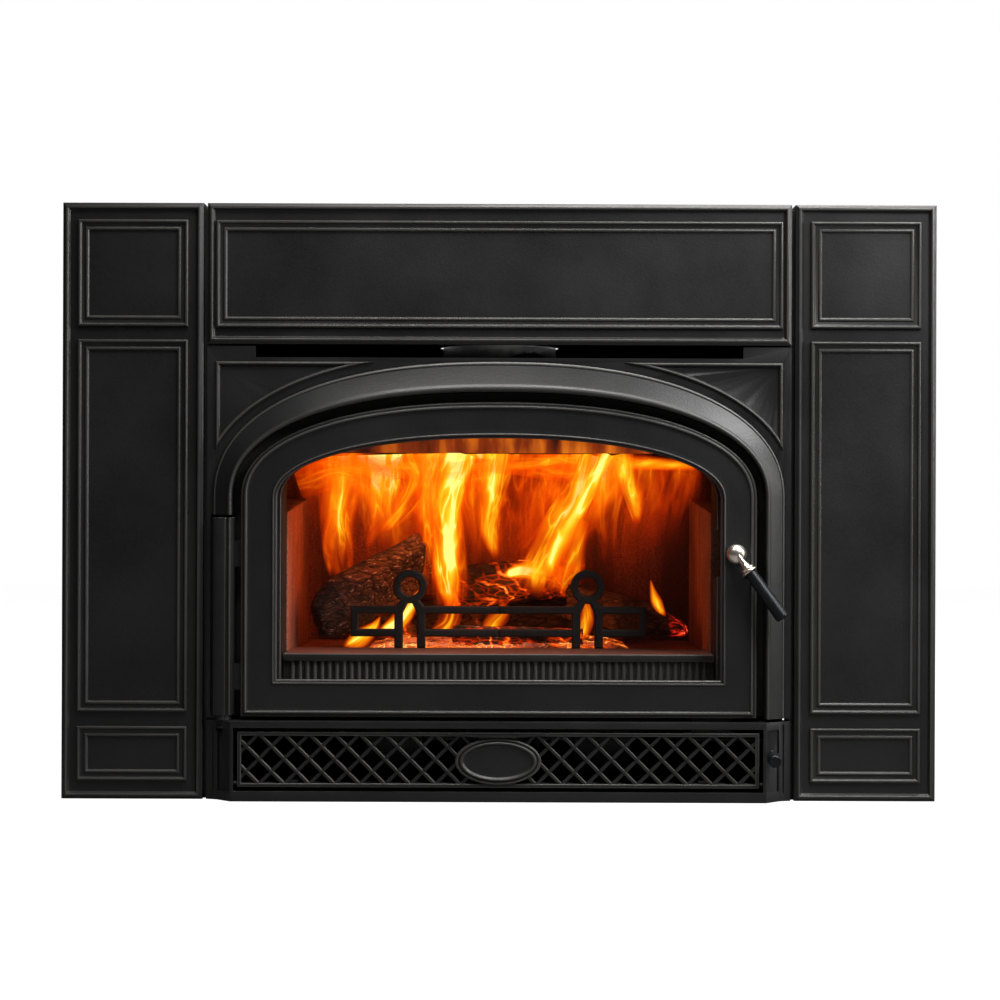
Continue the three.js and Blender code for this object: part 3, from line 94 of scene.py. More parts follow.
world = bpy.data.worlds.new("studio")
scene.world = world
world.use_nodes = True
wt = world.node_tree
wt.nodes.clear()
wOut = wt.nodes.new("ShaderNodeOutputWorld")
wMix = wt.nodes.new("ShaderNodeMixShader")
wPath = wt.nodes.new("ShaderNodeLightPath")
roomLight, pageLight = 0.06, 1.0
wRoom = wt.nodes.new("ShaderNodeBackground")
wPage = wt.nodes.new("ShaderNodeBackground")
for node, strength in ((wRoom, roomLight), (wPage, pageLight)):
    node.inputs["Color"].default_value = (1, 1, 1, 1)
    node.inputs["Strength"].default_value = strength
wt.links.new(wPath.outputs["Is Camera Ray"], wMix.inputs[0])
wt.links.new(wRoom.outputs[0], wMix.inputs[1])
wt.links.new(wPage.outputs[0], wMix.inputs[2])
wt.links.new(wMix.outputs[0], wOut.inputs[0])

# material tools


def feed(tree, socket, value):
    if isinstance(value, bpy.types.NodeSocket):
        tree.links.new(value, socket)
    else:
        socket.default_value = value


def addNode(tree, kind, values=None, **settings):
    made = tree.nodes.new(kind)
    for key, value in settings.items():
        setattr(made, key, value)
    for key, value in (values or {}).items():
        feed(tree, made.inputs[key], value)
    return made


# a shader or geometry group with named sockets, each given as label: (type, value)
def newGroup(name, inputs, outputs, kind="ShaderNodeTree"):
    tree = bpy.data.node_groups.new(name, kind)
    for label, (what, value) in inputs.items():
        socket = tree.interface.new_socket(label, in_out="INPUT", socket_type="NodeSocket" + what)
        if value is not None:
            socket.default_value = value
    for label, what in outputs.items():
        tree.interface.new_socket(label, in_out="OUTPUT", socket_type="NodeSocket" + what)
    return tree, tree.nodes.new("NodeGroupInput").outputs, tree.nodes.new("NodeGroupOutput").inputs


def mathNode(tree, operation, a, b=0.0, clamp=False):
    return addNode(tree, "ShaderNodeMath", {0: a, 1: b}, operation=operation, use_clamp=clamp).outputs[0]


def mixColour(tree, factor, a, b):
    made = addNode(tree, "ShaderNodeMix", {"Factor": factor}, data_type="RGBA")
    for socket, value in ((made.inputs[6], a), (made.inputs[7], b)):
        feed(tree, socket, (*value, 1) if isinstance(value, tuple) else value)
    return made.outputs[2]


def ramp(tree, factor, stops):
    made = addNode(tree, "ShaderNodeValToRGB", {"Fac": factor})
    marks = made.color_ramp.elements
    while len(marks) < len(stops):
        marks.new(0.5)
    for mark, (place, colour) in zip(marks, stops):
        mark.position = place
        mark.color = (*colour, 1)
    return made.outputs["Color"]


def spread(tree, value, low, high, toLow=0.0, toHigh=1.0):
    return addNode(tree, "ShaderNodeMapRange", {"Value": value, "From Min": low, "From Max": high,
                                                "To Min": toLow, "To Max": toHigh}).outputs[0]


def noiseAt(tree, where, scale, detail, rough=0.5):
    return addNode(tree, "ShaderNodeTexNoise", {"Vector": where, "Scale": scale, "Detail": detail,
        "Roughness": rough}).outputs["Fac"]


# fine grain of a sand casting under matt paint, with slow changes of tone
castGrain, given, gives = newGroup("castGrain", {"Vector": ("Vector", None), "Grain": ("Float", 900.0),
    "Drift": ("Float", 9.0)}, {"Height": "Float", "Tone": "Float"})
fine = noiseAt(castGrain, given["Vector"], given["Grain"], 3.0)
pits = addNode(castGrain, "ShaderNodeTexVoronoi", {"Vector": given["Vector"],
    "Scale": mathNode(castGrain, "MULTIPLY", given["Grain"], 0.55)}, feature="SMOOTH_F1")
slow = noiseAt(castGrain, given["Vector"], given["Drift"], 4.0)
pitted = mathNode(castGrain, "MULTIPLY", pits.outputs["Distance"], 0.5)
castGrain.links.new(mathNode(castGrain, "ADD", fine, pitted), gives["Height"])
castGrain.links.new(slow, gives["Tone"])

# soot and dust that lie in clouds
sootVeil, given, gives = newGroup("sootVeil", {"Vector": ("Vector", None), "Size": ("Float", 12.0),
    "Cover": ("Float", 0.5)}, {"Mask": "Float"})
cloud = noiseAt(sootVeil, given["Vector"], given["Size"], 6.0, 0.65)
bare = mathNode(sootVeil, "SUBTRACT", 1.0, given["Cover"])
veil = mathNode(sootVeil, "SUBTRACT", cloud, bare)
sootVeil.links.new(mathNode(sootVeil, "MULTIPLY", veil, 4.0, clamp=True), gives["Mask"])

# blocks of charred wood with cracks between
charBlocks, given, gives = newGroup("charBlocks", {"Vector": ("Vector", None), "Blocks": ("Float", 60.0)},
    {"Crack": "Float", "Height": "Float"})
bend = addNode(charBlocks, "ShaderNodeTexNoise", {"Vector": given["Vector"], "Scale": 18.0, "Detail": 3.0})
bentBy = addNode(charBlocks, "ShaderNodeVectorMath", {0: bend.outputs["Color"], 1: (0.03, 0.03, 0.03)},
    operation="MULTIPLY")
bent = addNode(charBlocks, "ShaderNodeVectorMath", {0: given["Vector"], 1: bentBy.outputs[0]})
cells = addNode(charBlocks, "ShaderNodeTexVoronoi", {"Vector": bent.outputs[0], "Scale": given["Blocks"]},
    feature="DISTANCE_TO_EDGE").outputs["Distance"]
charBlocks.links.new(spread(charBlocks, cells, 0.0, 0.09, 1.0, 0.0), gives["Crack"])
charBlocks.links.new(mathNode(charBlocks, "MINIMUM", cells, 0.22), gives["Height"])

# how hot a flame is, to its colour and cover
flameTint, given, gives = newGroup("flameTint", {"Heat": ("Float", 0.5)}, {"Colour": "Color",
    "Cover": "Float"})
tint = ramp(flameTint, given["Heat"], [(0.0, (0.30, 0.008, 0.0)), (0.20, (0.80, 0.045, 0.0)),
    (0.42, (1.0, 0.14, 0.001)), (0.62, (1.0, 0.30, 0.003)), (0.82, (1.0, 0.54, 0.015)),
    (0.98, (1.0, 0.86, 0.20))])
flameTint.links.new(tint, gives["Colour"])
flameTint.links.new(spread(flameTint, given["Heat"], 0.0, 0.85, 0.0, 0.95), gives["Cover"])


def newMaterial(name, **plain):
    made = bpy.data.materials.new(name)
    made.use_nodes = True
    tree = made.node_tree
    surface = tree.nodes["Principled BSDF"]
    for key, value in plain.items():
        surface.inputs[key.replace("_", " ")].default_value = value
    where = tree.nodes.new("ShaderNodeTexCoord").outputs["Object"]
    return made, tree, surface, where


def bump(tree, surface, height, depth, strength=1.0):
    made = addNode(tree, "ShaderNodeBump", {"Height": height, "Distance": depth, "Strength": strength})
    tree.links.new(made.outputs[0], surface.inputs["Normal"])


def useGroup(tree, group, values):
    made = tree.nodes.new("ShaderNodeGroup")
    made.node_tree = group
    for key, value in values.items():
        feed(tree, made.inputs[key], value)
    return made.outputs


# paint over metal; along the crests, which the mesh marks, a painted highlight: a much lighter colour, with a
# lower roughness
def paintedCast(name, dark, light, rough, grain=620.0, depth=0.00016, dust=0.0,
        crestHighlight=(0.085, 0.083, 0.079)):
    made, tree, surface, where = newMaterial(name, Specular_IOR_Level=0.42)
    cast = useGroup(tree, castGrain, {"Vector": where, "Grain": grain})
    tone = mixColour(tree, spread(tree, cast["Tone"], 0.35, 0.65), dark, light)
    high = spread(tree, cast["Height"], 0.45, 1.1, 0.0, 0.35)
    tone = mixColour(tree, high, tone, tuple(2.2 * c for c in light))
    if dust:
        veilMask = useGroup(tree, sootVeil, {"Vector": where, "Size": 14.0, "Cover": 0.42})["Mask"]
        tone = mixColour(tree, mathNode(tree, "MULTIPLY", veilMask, dust), tone, (0.10, 0.095, 0.09))
    # painted highlight: the marked crest faces are mixed towards the light crest colour
    highlightMask = addNode(tree, "ShaderNodeAttribute", attribute_name="crestHighlight").outputs["Fac"]
    highlightMask = mathNode(tree, "MULTIPLY", highlightMask, spread(tree, cast["Tone"], 0.25, 0.6, 0.75, 1.0))
    tree.links.new(mixColour(tree, highlightMask, tone, crestHighlight), surface.inputs["Base Color"])
    matt = spread(tree, cast["Tone"], 0.3, 0.7, rough - 0.05, rough + 0.06)
    smooth = mathNode(tree, "MULTIPLY", highlightMask, 0.12)
    tree.links.new(mathNode(tree, "SUBTRACT", matt, smooth), surface.inputs["Roughness"])
    bump(tree, surface, cast["Height"], depth, 0.5)
    return made


looks = {}
# each paint carries a lighter crest colour, a painted highlight along its crests
looks["cast"] = paintedCast("castIronPaint", (0.0056, 0.0056, 0.0058), (0.0080, 0.0080, 0.0083), 0.40,
    depth=0.00022)
looks["castInner"] = paintedCast("castIronInside", (0.008, 0.007, 0.007), (0.013, 0.011, 0.010), 0.55,
    dust=0.2)
looks["steel"] = paintedCast("sheetSteelPaint", (0.007, 0.007, 0.0075), (0.012, 0.012, 0.0125), 0.5,
    grain=1500.0, depth=0.00004, dust=0.08, crestHighlight=(0.03, 0.03, 0.031))
looks["board"] = paintedCast("fibreBoard", (0.30, 0.27, 0.22), (0.40, 0.36, 0.30), 0.92,
    grain=500.0, depth=0.0003, crestHighlight=(0.40, 0.36, 0.30))

# grip and knob: smooth moulded resin with faint flow marks
made, tree, surface, where = newMaterial("gripResin", Specular_IOR_Level=0.25)
flow = noiseAt(tree, where, 140.0, 5.0)
tree.links.new(mixColour(tree, flow, (0.0035, 0.004, 0.0055), (0.008, 0.009, 0.012)),
    surface.inputs["Base Color"])
tree.links.new(spread(tree, flow, 0.3, 0.7, 0.30, 0.40), surface.inputs["Roughness"])
bump(tree, surface, flow, 0.00004, 0.3)
looks["grip"] = made

# satin nickel: turned rings and light smudges
made, tree, surface, where = newMaterial("satinNickel", Metallic=1.0)
rings = noiseAt(tree, where, 2600.0, 2.0)
smudge = useGroup(tree, sootVeil, {"Vector": where, "Size": 90.0, "Cover": 0.5})["Mask"]
tree.links.new(mixColour(tree, smudge, (0.86, 0.79, 0.68), (0.72, 0.65, 0.55)), surface.inputs["Base Color"])
tree.links.new(spread(tree, smudge, 0.0, 1.0, 0.28, 0.38), surface.inputs["Roughness"])
bump(tree, surface, rings, 0.00002, 0.3)
looks["nickel"] = made

# zinc plate with its faint crystals
made, tree, surface, where = newMaterial("zincPlate", Metallic=1.0)
crystal = addNode(tree, "ShaderNodeTexVoronoi", {"Vector": where, "Scale": 260.0})
tree.links.new(mixColour(tree, crystal.outputs["Distance"], (0.42, 0.43, 0.45), (0.28, 0.29, 0.30)),
    surface.inputs["Base Color"])
tree.links.new(spread(tree, crystal.outputs["Distance"], 0.0, 1.0, 0.3, 0.48), surface.inputs["Roughness"])
bump(tree, surface, crystal.outputs["Distance"], 0.00003, 0.2)
looks["zinc"] = made


# firebrick: speckled clay under clouds of smoke; streaks run up the bricks that the flames lick
def clayBrick(name, dark, light, cover, streaks):
    made, tree, surface, where = newMaterial(name, Roughness=0.93)
    speck = noiseAt(tree, where, 330.0, 4.0, 0.7)
    stone = addNode(tree, "ShaderNodeTexVoronoi", {"Vector": where, "Scale": 210.0})
    clay = mixColour(tree, spread(tree, speck, 0.36, 0.64), dark, light)
    grit = spread(tree, stone.outputs["Distance"], 0.0, 0.22, 0.45, 0.0)
    clay = mixColour(tree, grit, clay, tuple(1.5 * c for c in light))
    upright = addNode(tree, "ShaderNodeMapping", {"Vector": where, "Scale": (42.0, 42.0, 3.0)})
    run = noiseAt(tree, upright.outputs[0], 1.0, 4.0)
    streak = mathNode(tree, "MULTIPLY", spread(tree, run, 0.42, 0.60), streaks)
    clay = mixColour(tree, streak, clay, (0.030, 0.012, 0.009))
    smoke = useGroup(tree, sootVeil, {"Vector": where, "Size": 9.0, "Cover": cover})["Mask"]
    clay = mixColour(tree, mathNode(tree, "MULTIPLY", smoke, 0.6), clay, (0.05, 0.022, 0.016))
    tree.links.new(clay, surface.inputs["Base Color"])
    bump(tree, surface, speck, 0.0009, 0.6)
    return made


looks["brick"] = clayBrick("firebrickClay", (0.12, 0.035, 0.018), (0.40, 0.15, 0.08), 0.55, 0.3)
# the back wall's bricks: the same clay, darker and with more streaks
looks["backBrick"] = clayBrick("firebrickDarker", (0.08, 0.022, 0.012), (0.25, 0.08, 0.045), 0.55, 0.7)

# rope: crossing strands
made, tree, surface, where = newMaterial("fibreRope", Roughness=0.95)
weave = addNode(tree, "ShaderNodeTexWave", {"Vector": where, "Scale": 190.0, "Distortion": 1.0},
    bands_direction="DIAGONAL").outputs["Fac"]
grime = useGroup(tree, sootVeil, {"Vector": where, "Size": 30.0, "Cover": 0.5})["Mask"]
strand = mixColour(tree, weave, (0.022, 0.021, 0.020), (0.085, 0.082, 0.078))
tree.links.new(mixColour(tree, mathNode(tree, "MULTIPLY", grime, 0.7), strand, (0.015, 0.014, 0.013)),
    surface.inputs["Base Color"])
bump(tree, surface, weave, 0.0006, 0.7)
looks["rope"] = made

# ceramic glass: nearly clear, a little smoky at the rim
made, tree, surface, where = newMaterial("stoveGlass", Roughness=0.04)
haze = useGroup(tree, sootVeil, {"Vector": where, "Size": 5.0, "Cover": 0.45})["Mask"]
tree.links.new(mixColour(tree, haze, (0.010, 0.008, 0.007), (0.030, 0.020, 0.014)),
    surface.inputs["Base Color"])
tree.links.new(spread(tree, haze, 0.0, 1.0, 0.05, 0.085), surface.inputs["Alpha"])
looks["glass"] = made


# wood: charred blocks and fibres, pale ash on what stands out, hot cracks where it burns
def charredWood(name, hot=0.0, brown=0.5, ash=0.5, grainTurn=0.0, tip=None):
    made, tree, surface, where = newMaterial(name, Roughness=0.9)
    turned = addNode(tree, "ShaderNodeMapping", {"Vector": where, "Rotation": (0, grainTurn, 0),
        "Scale": (0.3, 1, 1)}).outputs[0]
    blocks = useGroup(tree, charBlocks, {"Vector": turned, "Blocks": 120.0})
    fibre = noiseAt(tree, turned, 260.0, 5.0, 0.65)
    patch = noiseAt(tree, where, 15.0, 4.0)
    bark = mixColour(tree, spread(tree, fibre, 0.38, 0.66), (0.010, 0.006, 0.005), (0.060, 0.030, 0.018))
    bare = mixColour(tree, fibre, (0.10, 0.034, 0.014), (0.30, 0.12, 0.05))
    bark = mixColour(tree, mathNode(tree, "MULTIPLY", spread(tree, patch, 0.46, 0.6), brown), bark, bare)
    pale = mathNode(tree, "MULTIPLY", spread(tree, fibre, 0.58, 0.70), spread(tree, patch, 0.40, 0.52))
    bark = mixColour(tree, mathNode(tree, "MULTIPLY", pale, ash), bark, (0.34, 0.29, 0.26))
    bark = mixColour(tree, blocks["Crack"], bark, (0.004, 0.003, 0.003))
    tree.links.new(bark, surface.inputs["Base Color"])
    relief = mathNode(tree, "ADD", blocks["Height"], mathNode(tree, "MULTIPLY", fibre, 0.2))
    bump(tree, surface, relief, 0.004, 0.9)
    if tip:
        along = addNode(tree, "ShaderNodeSeparateXYZ", {0: where}).outputs["X"]
        glow = mathNode(tree, "MULTIPLY", spread(tree, along, *tip), spread(tree, fibre, 0.48, 0.66))
        stops = [(0.0, (0, 0, 0)), (0.35, (0.5, 0.01, 0.004)), (0.8, (1.0, 0.06, 0.02)),
            (1.0, (1.0, 0.25, 0.10))]
    elif hot:
        curl = addNode(tree, "ShaderNodeTexWave", {"Vector": where, "Scale": 17.0, "Distortion": 7.0,
            "Detail": 3.0, "Detail Scale": 1.4}, bands_direction="DIAGONAL").outputs["Fac"]
        line = mathNode(tree, "MULTIPLY", spread(tree, curl, 0.80, 0.98), spread(tree, fibre, 0.35, 0.6))
        line = mathNode(tree, "MAXIMUM", line, mathNode(tree, "MULTIPLY", blocks["Crack"], 0.35))
        glow = mathNode(tree, "MULTIPLY", line, spread(tree, patch, 0.62 - 0.24 * hot, 0.72 - 0.1 * hot))
        stops = [(0.0, (0, 0, 0)), (0.25, (0.45, 0.02, 0.0)), (0.6, (1.0, 0.17, 0.008)),
            (1.0, (1.0, 0.50, 0.09))]
    if hot or tip:
        tree.links.new(ramp(tree, glow, stops), surface.inputs["Emission Color"])
        surface.inputs["Emission Strength"].default_value = 1.4
    return made


looks["barkLog"] = charredWood("barkWood", 0.3, 0.8)
looks["splitLog"] = charredWood("splitWood", 0.0, 0.35, 1.3, 0.8)
looks["tipLog"] = charredWood("tipWood", 0.0, 0.4, 0.5, -0.4, (0.222, 0.243))
looks["hotLog"] = charredWood("glowingWood", 1.0, 0.3, 0.4)
looks["emberLog"] = charredWood("emberWood", 0.7, 0.2, 1.4)

# ember bed: ash lumps over a glow
made, tree, surface, where = newMaterial("emberBed", Roughness=0.95)
blocks = useGroup(tree, charBlocks, {"Vector": where, "Blocks": 95.0})
patch = noiseAt(tree, where, 16.0, 3.0)
ash = mixColour(tree, spread(tree, blocks["Height"], 0.0, 0.2), (0.02, 0.014, 0.012), (0.36, 0.27, 0.25))
tree.links.new(ash, surface.inputs["Base Color"])
glow = mathNode(tree, "MULTIPLY", mathNode(tree, "ADD", blocks["Crack"], 0.12),
    spread(tree, patch, 0.40, 0.62))
tree.links.new(ramp(tree, glow, [(0.0, (0.02, 0.0, 0.0)), (0.3, (0.75, 0.06, 0.002)),
    (0.6, (1.0, 0.32, 0.02)), (1.0, (1.0, 0.75, 0.25))]), surface.inputs["Emission Color"])
surface.inputs["Emission Strength"].default_value = 1.5
bump(tree, surface, blocks["Height"], 0.004, 0.8)
looks["ember"] = made


# flame: bright strands run along the ribbon's course; its burn attribute sets how hot it is. In mirrors
# it is dimmed, so that the nickel stays pale
def flameLook(name, base, swing, strandGain, strength):
    made, tree, surface, where = newMaterial(name, Roughness=1.0)
    course = addNode(tree, "ShaderNodeAttribute", attribute_name="course").outputs["Vector"]
    burn = addNode(tree, "ShaderNodeAttribute", attribute_name="burn").outputs["Fac"]
    swirl = addNode(tree, "ShaderNodeTexNoise", {"Vector": course, "Scale": 0.45, "Detail": 2.0})
    push = addNode(tree, "ShaderNodeVectorMath", {0: swirl.outputs["Color"], 1: (2.6, 1.2, 0.0)},
        operation="MULTIPLY")
    moved = addNode(tree, "ShaderNodeVectorMath", {0: course, 1: push.outputs[0]}, operation="ADD").outputs[0]
    body = noiseAt(tree, moved, 0.42, 3.0)
    thin = noiseAt(tree, moved, 0.95, 2.5)
    away = mathNode(tree, "ABSOLUTE", mathNode(tree, "SUBTRACT", thin, 0.5))
    strand = mathNode(tree, "POWER", spread(tree, away, 0.0, 0.13, 1.0, 0.0), 2.0)
    drift = mathNode(tree, "MULTIPLY", mathNode(tree, "SUBTRACT", body, 0.5), swing)
    lift = mathNode(tree, "ADD", base, drift)
    lift = mathNode(tree, "ADD", lift, mathNode(tree, "MULTIPLY", strand, strandGain))
    tinted = useGroup(tree, flameTint, {"Heat": mathNode(tree, "MULTIPLY", lift, burn, clamp=True)})
    surface.inputs["Base Color"].default_value = (0, 0, 0, 1)
    surface.inputs["Specular IOR Level"].default_value = 0
    mirrored = addNode(tree, "ShaderNodeLightPath").outputs["Is Glossy Ray"]
    mirrored = mathNode(tree, "MULTIPLY", mirrored, 0.85)
    tree.links.new(mixColour(tree, mirrored, tinted["Colour"], (0, 0, 0)), surface.inputs["Emission Color"])
    tree.links.new(tinted["Cover"], surface.inputs["Alpha"])
    surface.inputs["Emission Strength"].default_value = strength
    return made


looks["flame"] = flameLook("flameSheet", 0.50, 2.6, 0.30, 1.45)
looks["haze"] = flameLook("flameHaze", 0.42, 2.1, 0.22, 1.6)

# air-wash bar: steel with painted firelight, an orange glow in upright streaks, brightest in the middle,
# though it is no lamp
made, tree, surface, where = newMaterial("steelPaintedFirelight", Roughness=0.6)
surface.inputs["Base Color"].default_value = (0.012, 0.010, 0.009, 1)
upright = addNode(tree, "ShaderNodeMapping", {"Vector": where, "Scale": (26.0, 1.0, 7.0)})
streak = noiseAt(tree, upright.outputs[0], 1.0, 4.0)
across = addNode(tree, "ShaderNodeSeparateXYZ", {0: where}).outputs["X"]
fromMiddle = mathNode(tree, "ABSOLUTE", mathNode(tree, "SUBTRACT", across, 0.04))
middle = spread(tree, fromMiddle, 0.06, 0.25, 1.0, 0.35)
# painted glow of the fire's light, not heat: streaks, brighter towards the middle
heat = mathNode(tree, "MULTIPLY", spread(tree, streak, 0.36, 0.64), middle)
tree.links.new(ramp(tree, heat, [(0.0, (0.035, 0.004, 0.001)), (0.4, (0.30, 0.035, 0.003)),
    (0.75, (0.80, 0.17, 0.008)), (1.0, (1.0, 0.36, 0.02))]), surface.inputs["Emission Color"])
surface.inputs["Emission Strength"].default_value = 0.9
looks["washBar"] = made

# floor: a pale sweep, as white as the page where the camera sees it, with soft contact shadows
made, tree, surface, where = newMaterial("paleFloor", Roughness=0.9)
drift = noiseAt(tree, where, 1.2, 2.0)
tree.links.new(mixColour(tree, drift, (0.13, 0.13, 0.13), (0.15, 0.15, 0.15)),
    surface.inputs["Base Color"])
surface.inputs["Emission Color"].default_value = (1, 1, 1, 1)
seen = addNode(tree, "ShaderNodeLightPath").outputs["Is Camera Ray"]
tree.links.new(mathNode(tree, "MULTIPLY", seen, 0.97), surface.inputs["Emission Strength"])
looks["floor"] = made
print("materials made")

# shape tools


def toObject(name, mesh):
    ob = bpy.data.objects.new(name, mesh)
    scene.collection.objects.link(ob)
    return ob


# marks the narrow strips that turn round an outer edge, where the paint takes its painted highlight
def markCrests(mesh, widest=1.5):
    bm = bmesh.new()
    bm.from_mesh(mesh)
    marks = []
    for face in bm.faces:
        shared = [edge for edge in face.edges if len(edge.link_faces) == 2]
        angles = [(edge.calc_length(), edge.calc_face_angle_signed(0.0)) for edge in shared]
        longest = max(length for length, angle in angles) if angles else 0
        turn = sum(angle for length, angle in angles if length > 0.5 * longest)
        width = face.calc_area() / max(longest, 1e-9)
        marks.append(min(max(turn / math.radians(50), 0.0), 1.0) if width < widest * mm else 0.0)
    bm.free()
    mesh.attributes.new("crestHighlight", "FLOAT", "FACE").data.foreach_set("value", marks)


def finishMesh(mesh, look, smooth=32):
    mesh.materials.clear()
    mesh.materials.append(looks[look])
    # cast, inner cast and steel get their crests marked for the painted highlight
    if look in ("cast", "castInner", "steel") and "crestHighlight" not in mesh.attributes:
        markCrests(mesh)
    mesh.shade_smooth()
    mesh.set_sharp_from_angle(angle=math.radians(smooth))


def meshOf(name, parts, scale=mm):
    bm = bmesh.new()
    for points, faces in parts:
        made = [bm.verts.new((x * scale, y * scale, z * scale)) for x, y, z in points]
        for face in faces:
            if len(set(face)) > 2:
                try:
                    bm.faces.new([made[i] for i in face])
                except ValueError:
                    pass
    bmesh.ops.remove_doubles(bm, verts=bm.verts, dist=1e-7)
    bmesh.ops.recalc_face_normals(bm, faces=bm.faces)
    mesh = bpy.data.meshes.new(name)
    bm.to_mesh(mesh)
    bm.free()
    return mesh


def settle(ob, name, body, stands=()):
    ob.name = name
    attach(ob, body)
    if stands:
        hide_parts(*stands)
    return ob


# parts to a finished piece that rides its body and stands for its nodes
def piece(name, parts, look, body, stands, smooth=32):
    mesh = meshOf(name, parts)
    finishMesh(mesh, look, smooth)
    return settle(toObject(name, mesh), name, body, stands)


def baked(ob, look, smooth=32):
    graph = bpy.context.evaluated_depsgraph_get()
    mesh = bpy.data.meshes.new_from_object(ob.evaluated_get(graph))
    ob.modifiers.clear()
    ob.data = mesh
    finishMesh(mesh, look, smooth)
    return ob


def boxPart(x0, x1, y0, y1, z0, z1):
    points = [(x, y, z) for x in (x0, x1) for y in (y0, y1) for z in (z0, z1)]
    return points, [(0, 1, 3, 2), (4, 6, 7, 5), (0, 4, 5, 1), (2, 3, 7, 6), (0, 2, 6, 4), (1, 5, 7, 3)]


# rounds the corners of a profile
def rounded(profile, radius, steps=3, closed=False):
    count = len(profile)
    out = []
    for i, point in enumerate(profile):
        if not closed and i in (0, count - 1):
            out.append(point)
            continue
        here = Vector(point)
        before = Vector(profile[i - 1]) - here
        after = Vector(profile[(i + 1) % count]) - here
        reach = min(radius, before.length * 0.45, after.length * 0.45)
        a = here + before.normalized() * reach
        b = here + after.normalized() * reach
        for k in range(steps + 1):
            t = k / steps
            out.append(tuple(a * (1 - t) ** 2 + here * (2 * t * (1 - t)) + b * t ** 2))
    return out


# a skin over rings; cyclic joins the last ring to the first, otherwise flat ends close it
def skinPart(rings, cyclic=False):
    count, total = len(rings[0]), len(rings)
    points = [p for ring in rings for p in ring]
    faces = []
    for i in range(total if cyclic else total - 1):
        for j in range(count):
            a, b = i * count, ((i + 1) % total) * count
            k = (j + 1) % count
            faces.append((a + j, a + k, b + k, b + j))
    if not cyclic:
        for base in (0, (total - 1) * count):
            ring = [Vector(p) for p in rings[base // count]]
            for tri in tessellate_polygon([ring]):
                faces.append(tuple(base + i for i in tri))
    return points, faces


def prismY(outline, front, back):
    return skinPart([[(x, front, z) for x, z in outline], [(x, back, z) for x, z in outline]])


def prismX(outline, left, right):
    return skinPart([[(left, y, z) for y, z in outline], [(right, y, z) for y, z in outline]])


def prismZ(outline, low, high):
    return skinPart([[(x, y, low) for x, y in outline], [(x, y, high) for x, y in outline]])


poleRadius = 0.01


def lathePart(profile, start, direction, sides=64):
    axis = Vector(direction).normalized()
    side = axis.orthogonal().normalized()
    other = axis.cross(side)
    rings = []
    for r, h in profile:
        ring = []
        for k in range(sides):
            angle = 2 * math.pi * k / sides
            out = side * math.cos(angle) + other * math.sin(angle)
            ring.append(tuple(Vector(start) + axis * h + out * max(r, poleRadius)))
        rings.append(ring)
    return skinPart(rings)


def rectangle(u0, u1, v0, v1, inset=0.0):
    u0, u1, v0, v1 = u0 + inset, u1 - inset, v0 + inset, v1 - inset
    return [(u0, v0), (u1, v0), (u1, v1), (u0, v1)]


springHeight = 367.0


def archCurve(half, rise, power, steps):
    out = []
    for i in range(steps + 1):
        angle = math.pi * i / steps
        across, up = math.cos(angle), max(math.sin(angle), 0.0)
        x = half * math.copysign(abs(across) ** (2 / power), across)
        out.append((x, springHeight + rise * up ** (2 / power)))
    return out


def archOutline(arch, inset=0.0, steps=140):
    half, rise, bottom = arch["half"] - inset, arch["rise"] - inset, arch["bottom"] + inset
    return [(half, bottom)] + archCurve(half, rise, arch["power"], steps) + [(-half, bottom)]


def at(outline, ahead):
    return [(x, -ahead, z) for x, z in outline]


def cutAway(ob, cutterParts):
    cutter = toObject("cutter", meshOf("cutter", cutterParts))
    change = ob.modifiers.new("cut", "BOOLEAN")
    change.operation = "DIFFERENCE"
    change.solver = "EXACT"
    change.object = cutter
    graph = bpy.context.evaluated_depsgraph_get()
    mesh = bpy.data.meshes.new_from_object(ob.evaluated_get(graph))
    ob.modifiers.clear()
    ob.data = mesh
    bpy.data.objects.remove(cutter)


def bevelled(ob, width, segments=2, angle=30):
    change = ob.modifiers.new("edge", "BEVEL")
    change.width = width * mm
    change.segments = segments
    change.limit_method = "ANGLE"
    change.angle_limit = math.radians(angle)


weld = 1e-5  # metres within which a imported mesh's loose corners are one


def placedCopy(node):
    source = frame["nodes"][node]
    mesh = source.data.copy()
    mesh.transform(source.matrix_world)
    return mesh


# a CAD node's own shape with its edges rounded as a casting or a fold has them
def softened(node, look, width=0.7, segments=2, name=None):
    mesh = placedCopy(node)
    bm = bmesh.new()
    bm.from_mesh(mesh)
    bmesh.ops.remove_doubles(bm, verts=bm.verts, dist=weld)
    bmesh.ops.dissolve_limit(bm, angle_limit=math.radians(0.6), verts=bm.verts, edges=bm.edges)
    bm.to_mesh(mesh)
    bm.free()
    ob = toObject(node + "Soft", mesh)
    bevelled(ob, width, segments)
    baked(ob, look)
    record = frame["record"]
    body = next(b for b, nodes in record["behaviour"]["bodies"].items() if node in nodes)
    return settle(ob, name or node + "_finished", body, (node,))


# surround

castPanel = {"field": 38.0, "wall": 5.0, "rim": 4.0, "half": 533.5, "centreHalf": 356.9, "joint": 4.6,
    "high": 728.0, "topPanel": 556.0, "mouldingWidth": 13.5, "sideInset": 18.8, "topInset": 10.9,
    "sideMouldings": ((22.6, 89), (106.5, 561), (577, 707.5)), "topMoulding": (576, 707)}
cp = castPanel


def panelPart(x0, x1, z0, z1):
    field, rim = cp["field"], cp["field"] + cp["rim"]
    front = rounded([(0, field - cp["wall"]), (0, rim - 3.2), (0.8, rim - 2.5), (4.6, rim), (6.2, rim),
        (9.2, field), (12, field)], 0.8, 4)
    return skinPart([at(rectangle(x0, x1, z0, z1, inset), ahead) for inset, ahead in front])


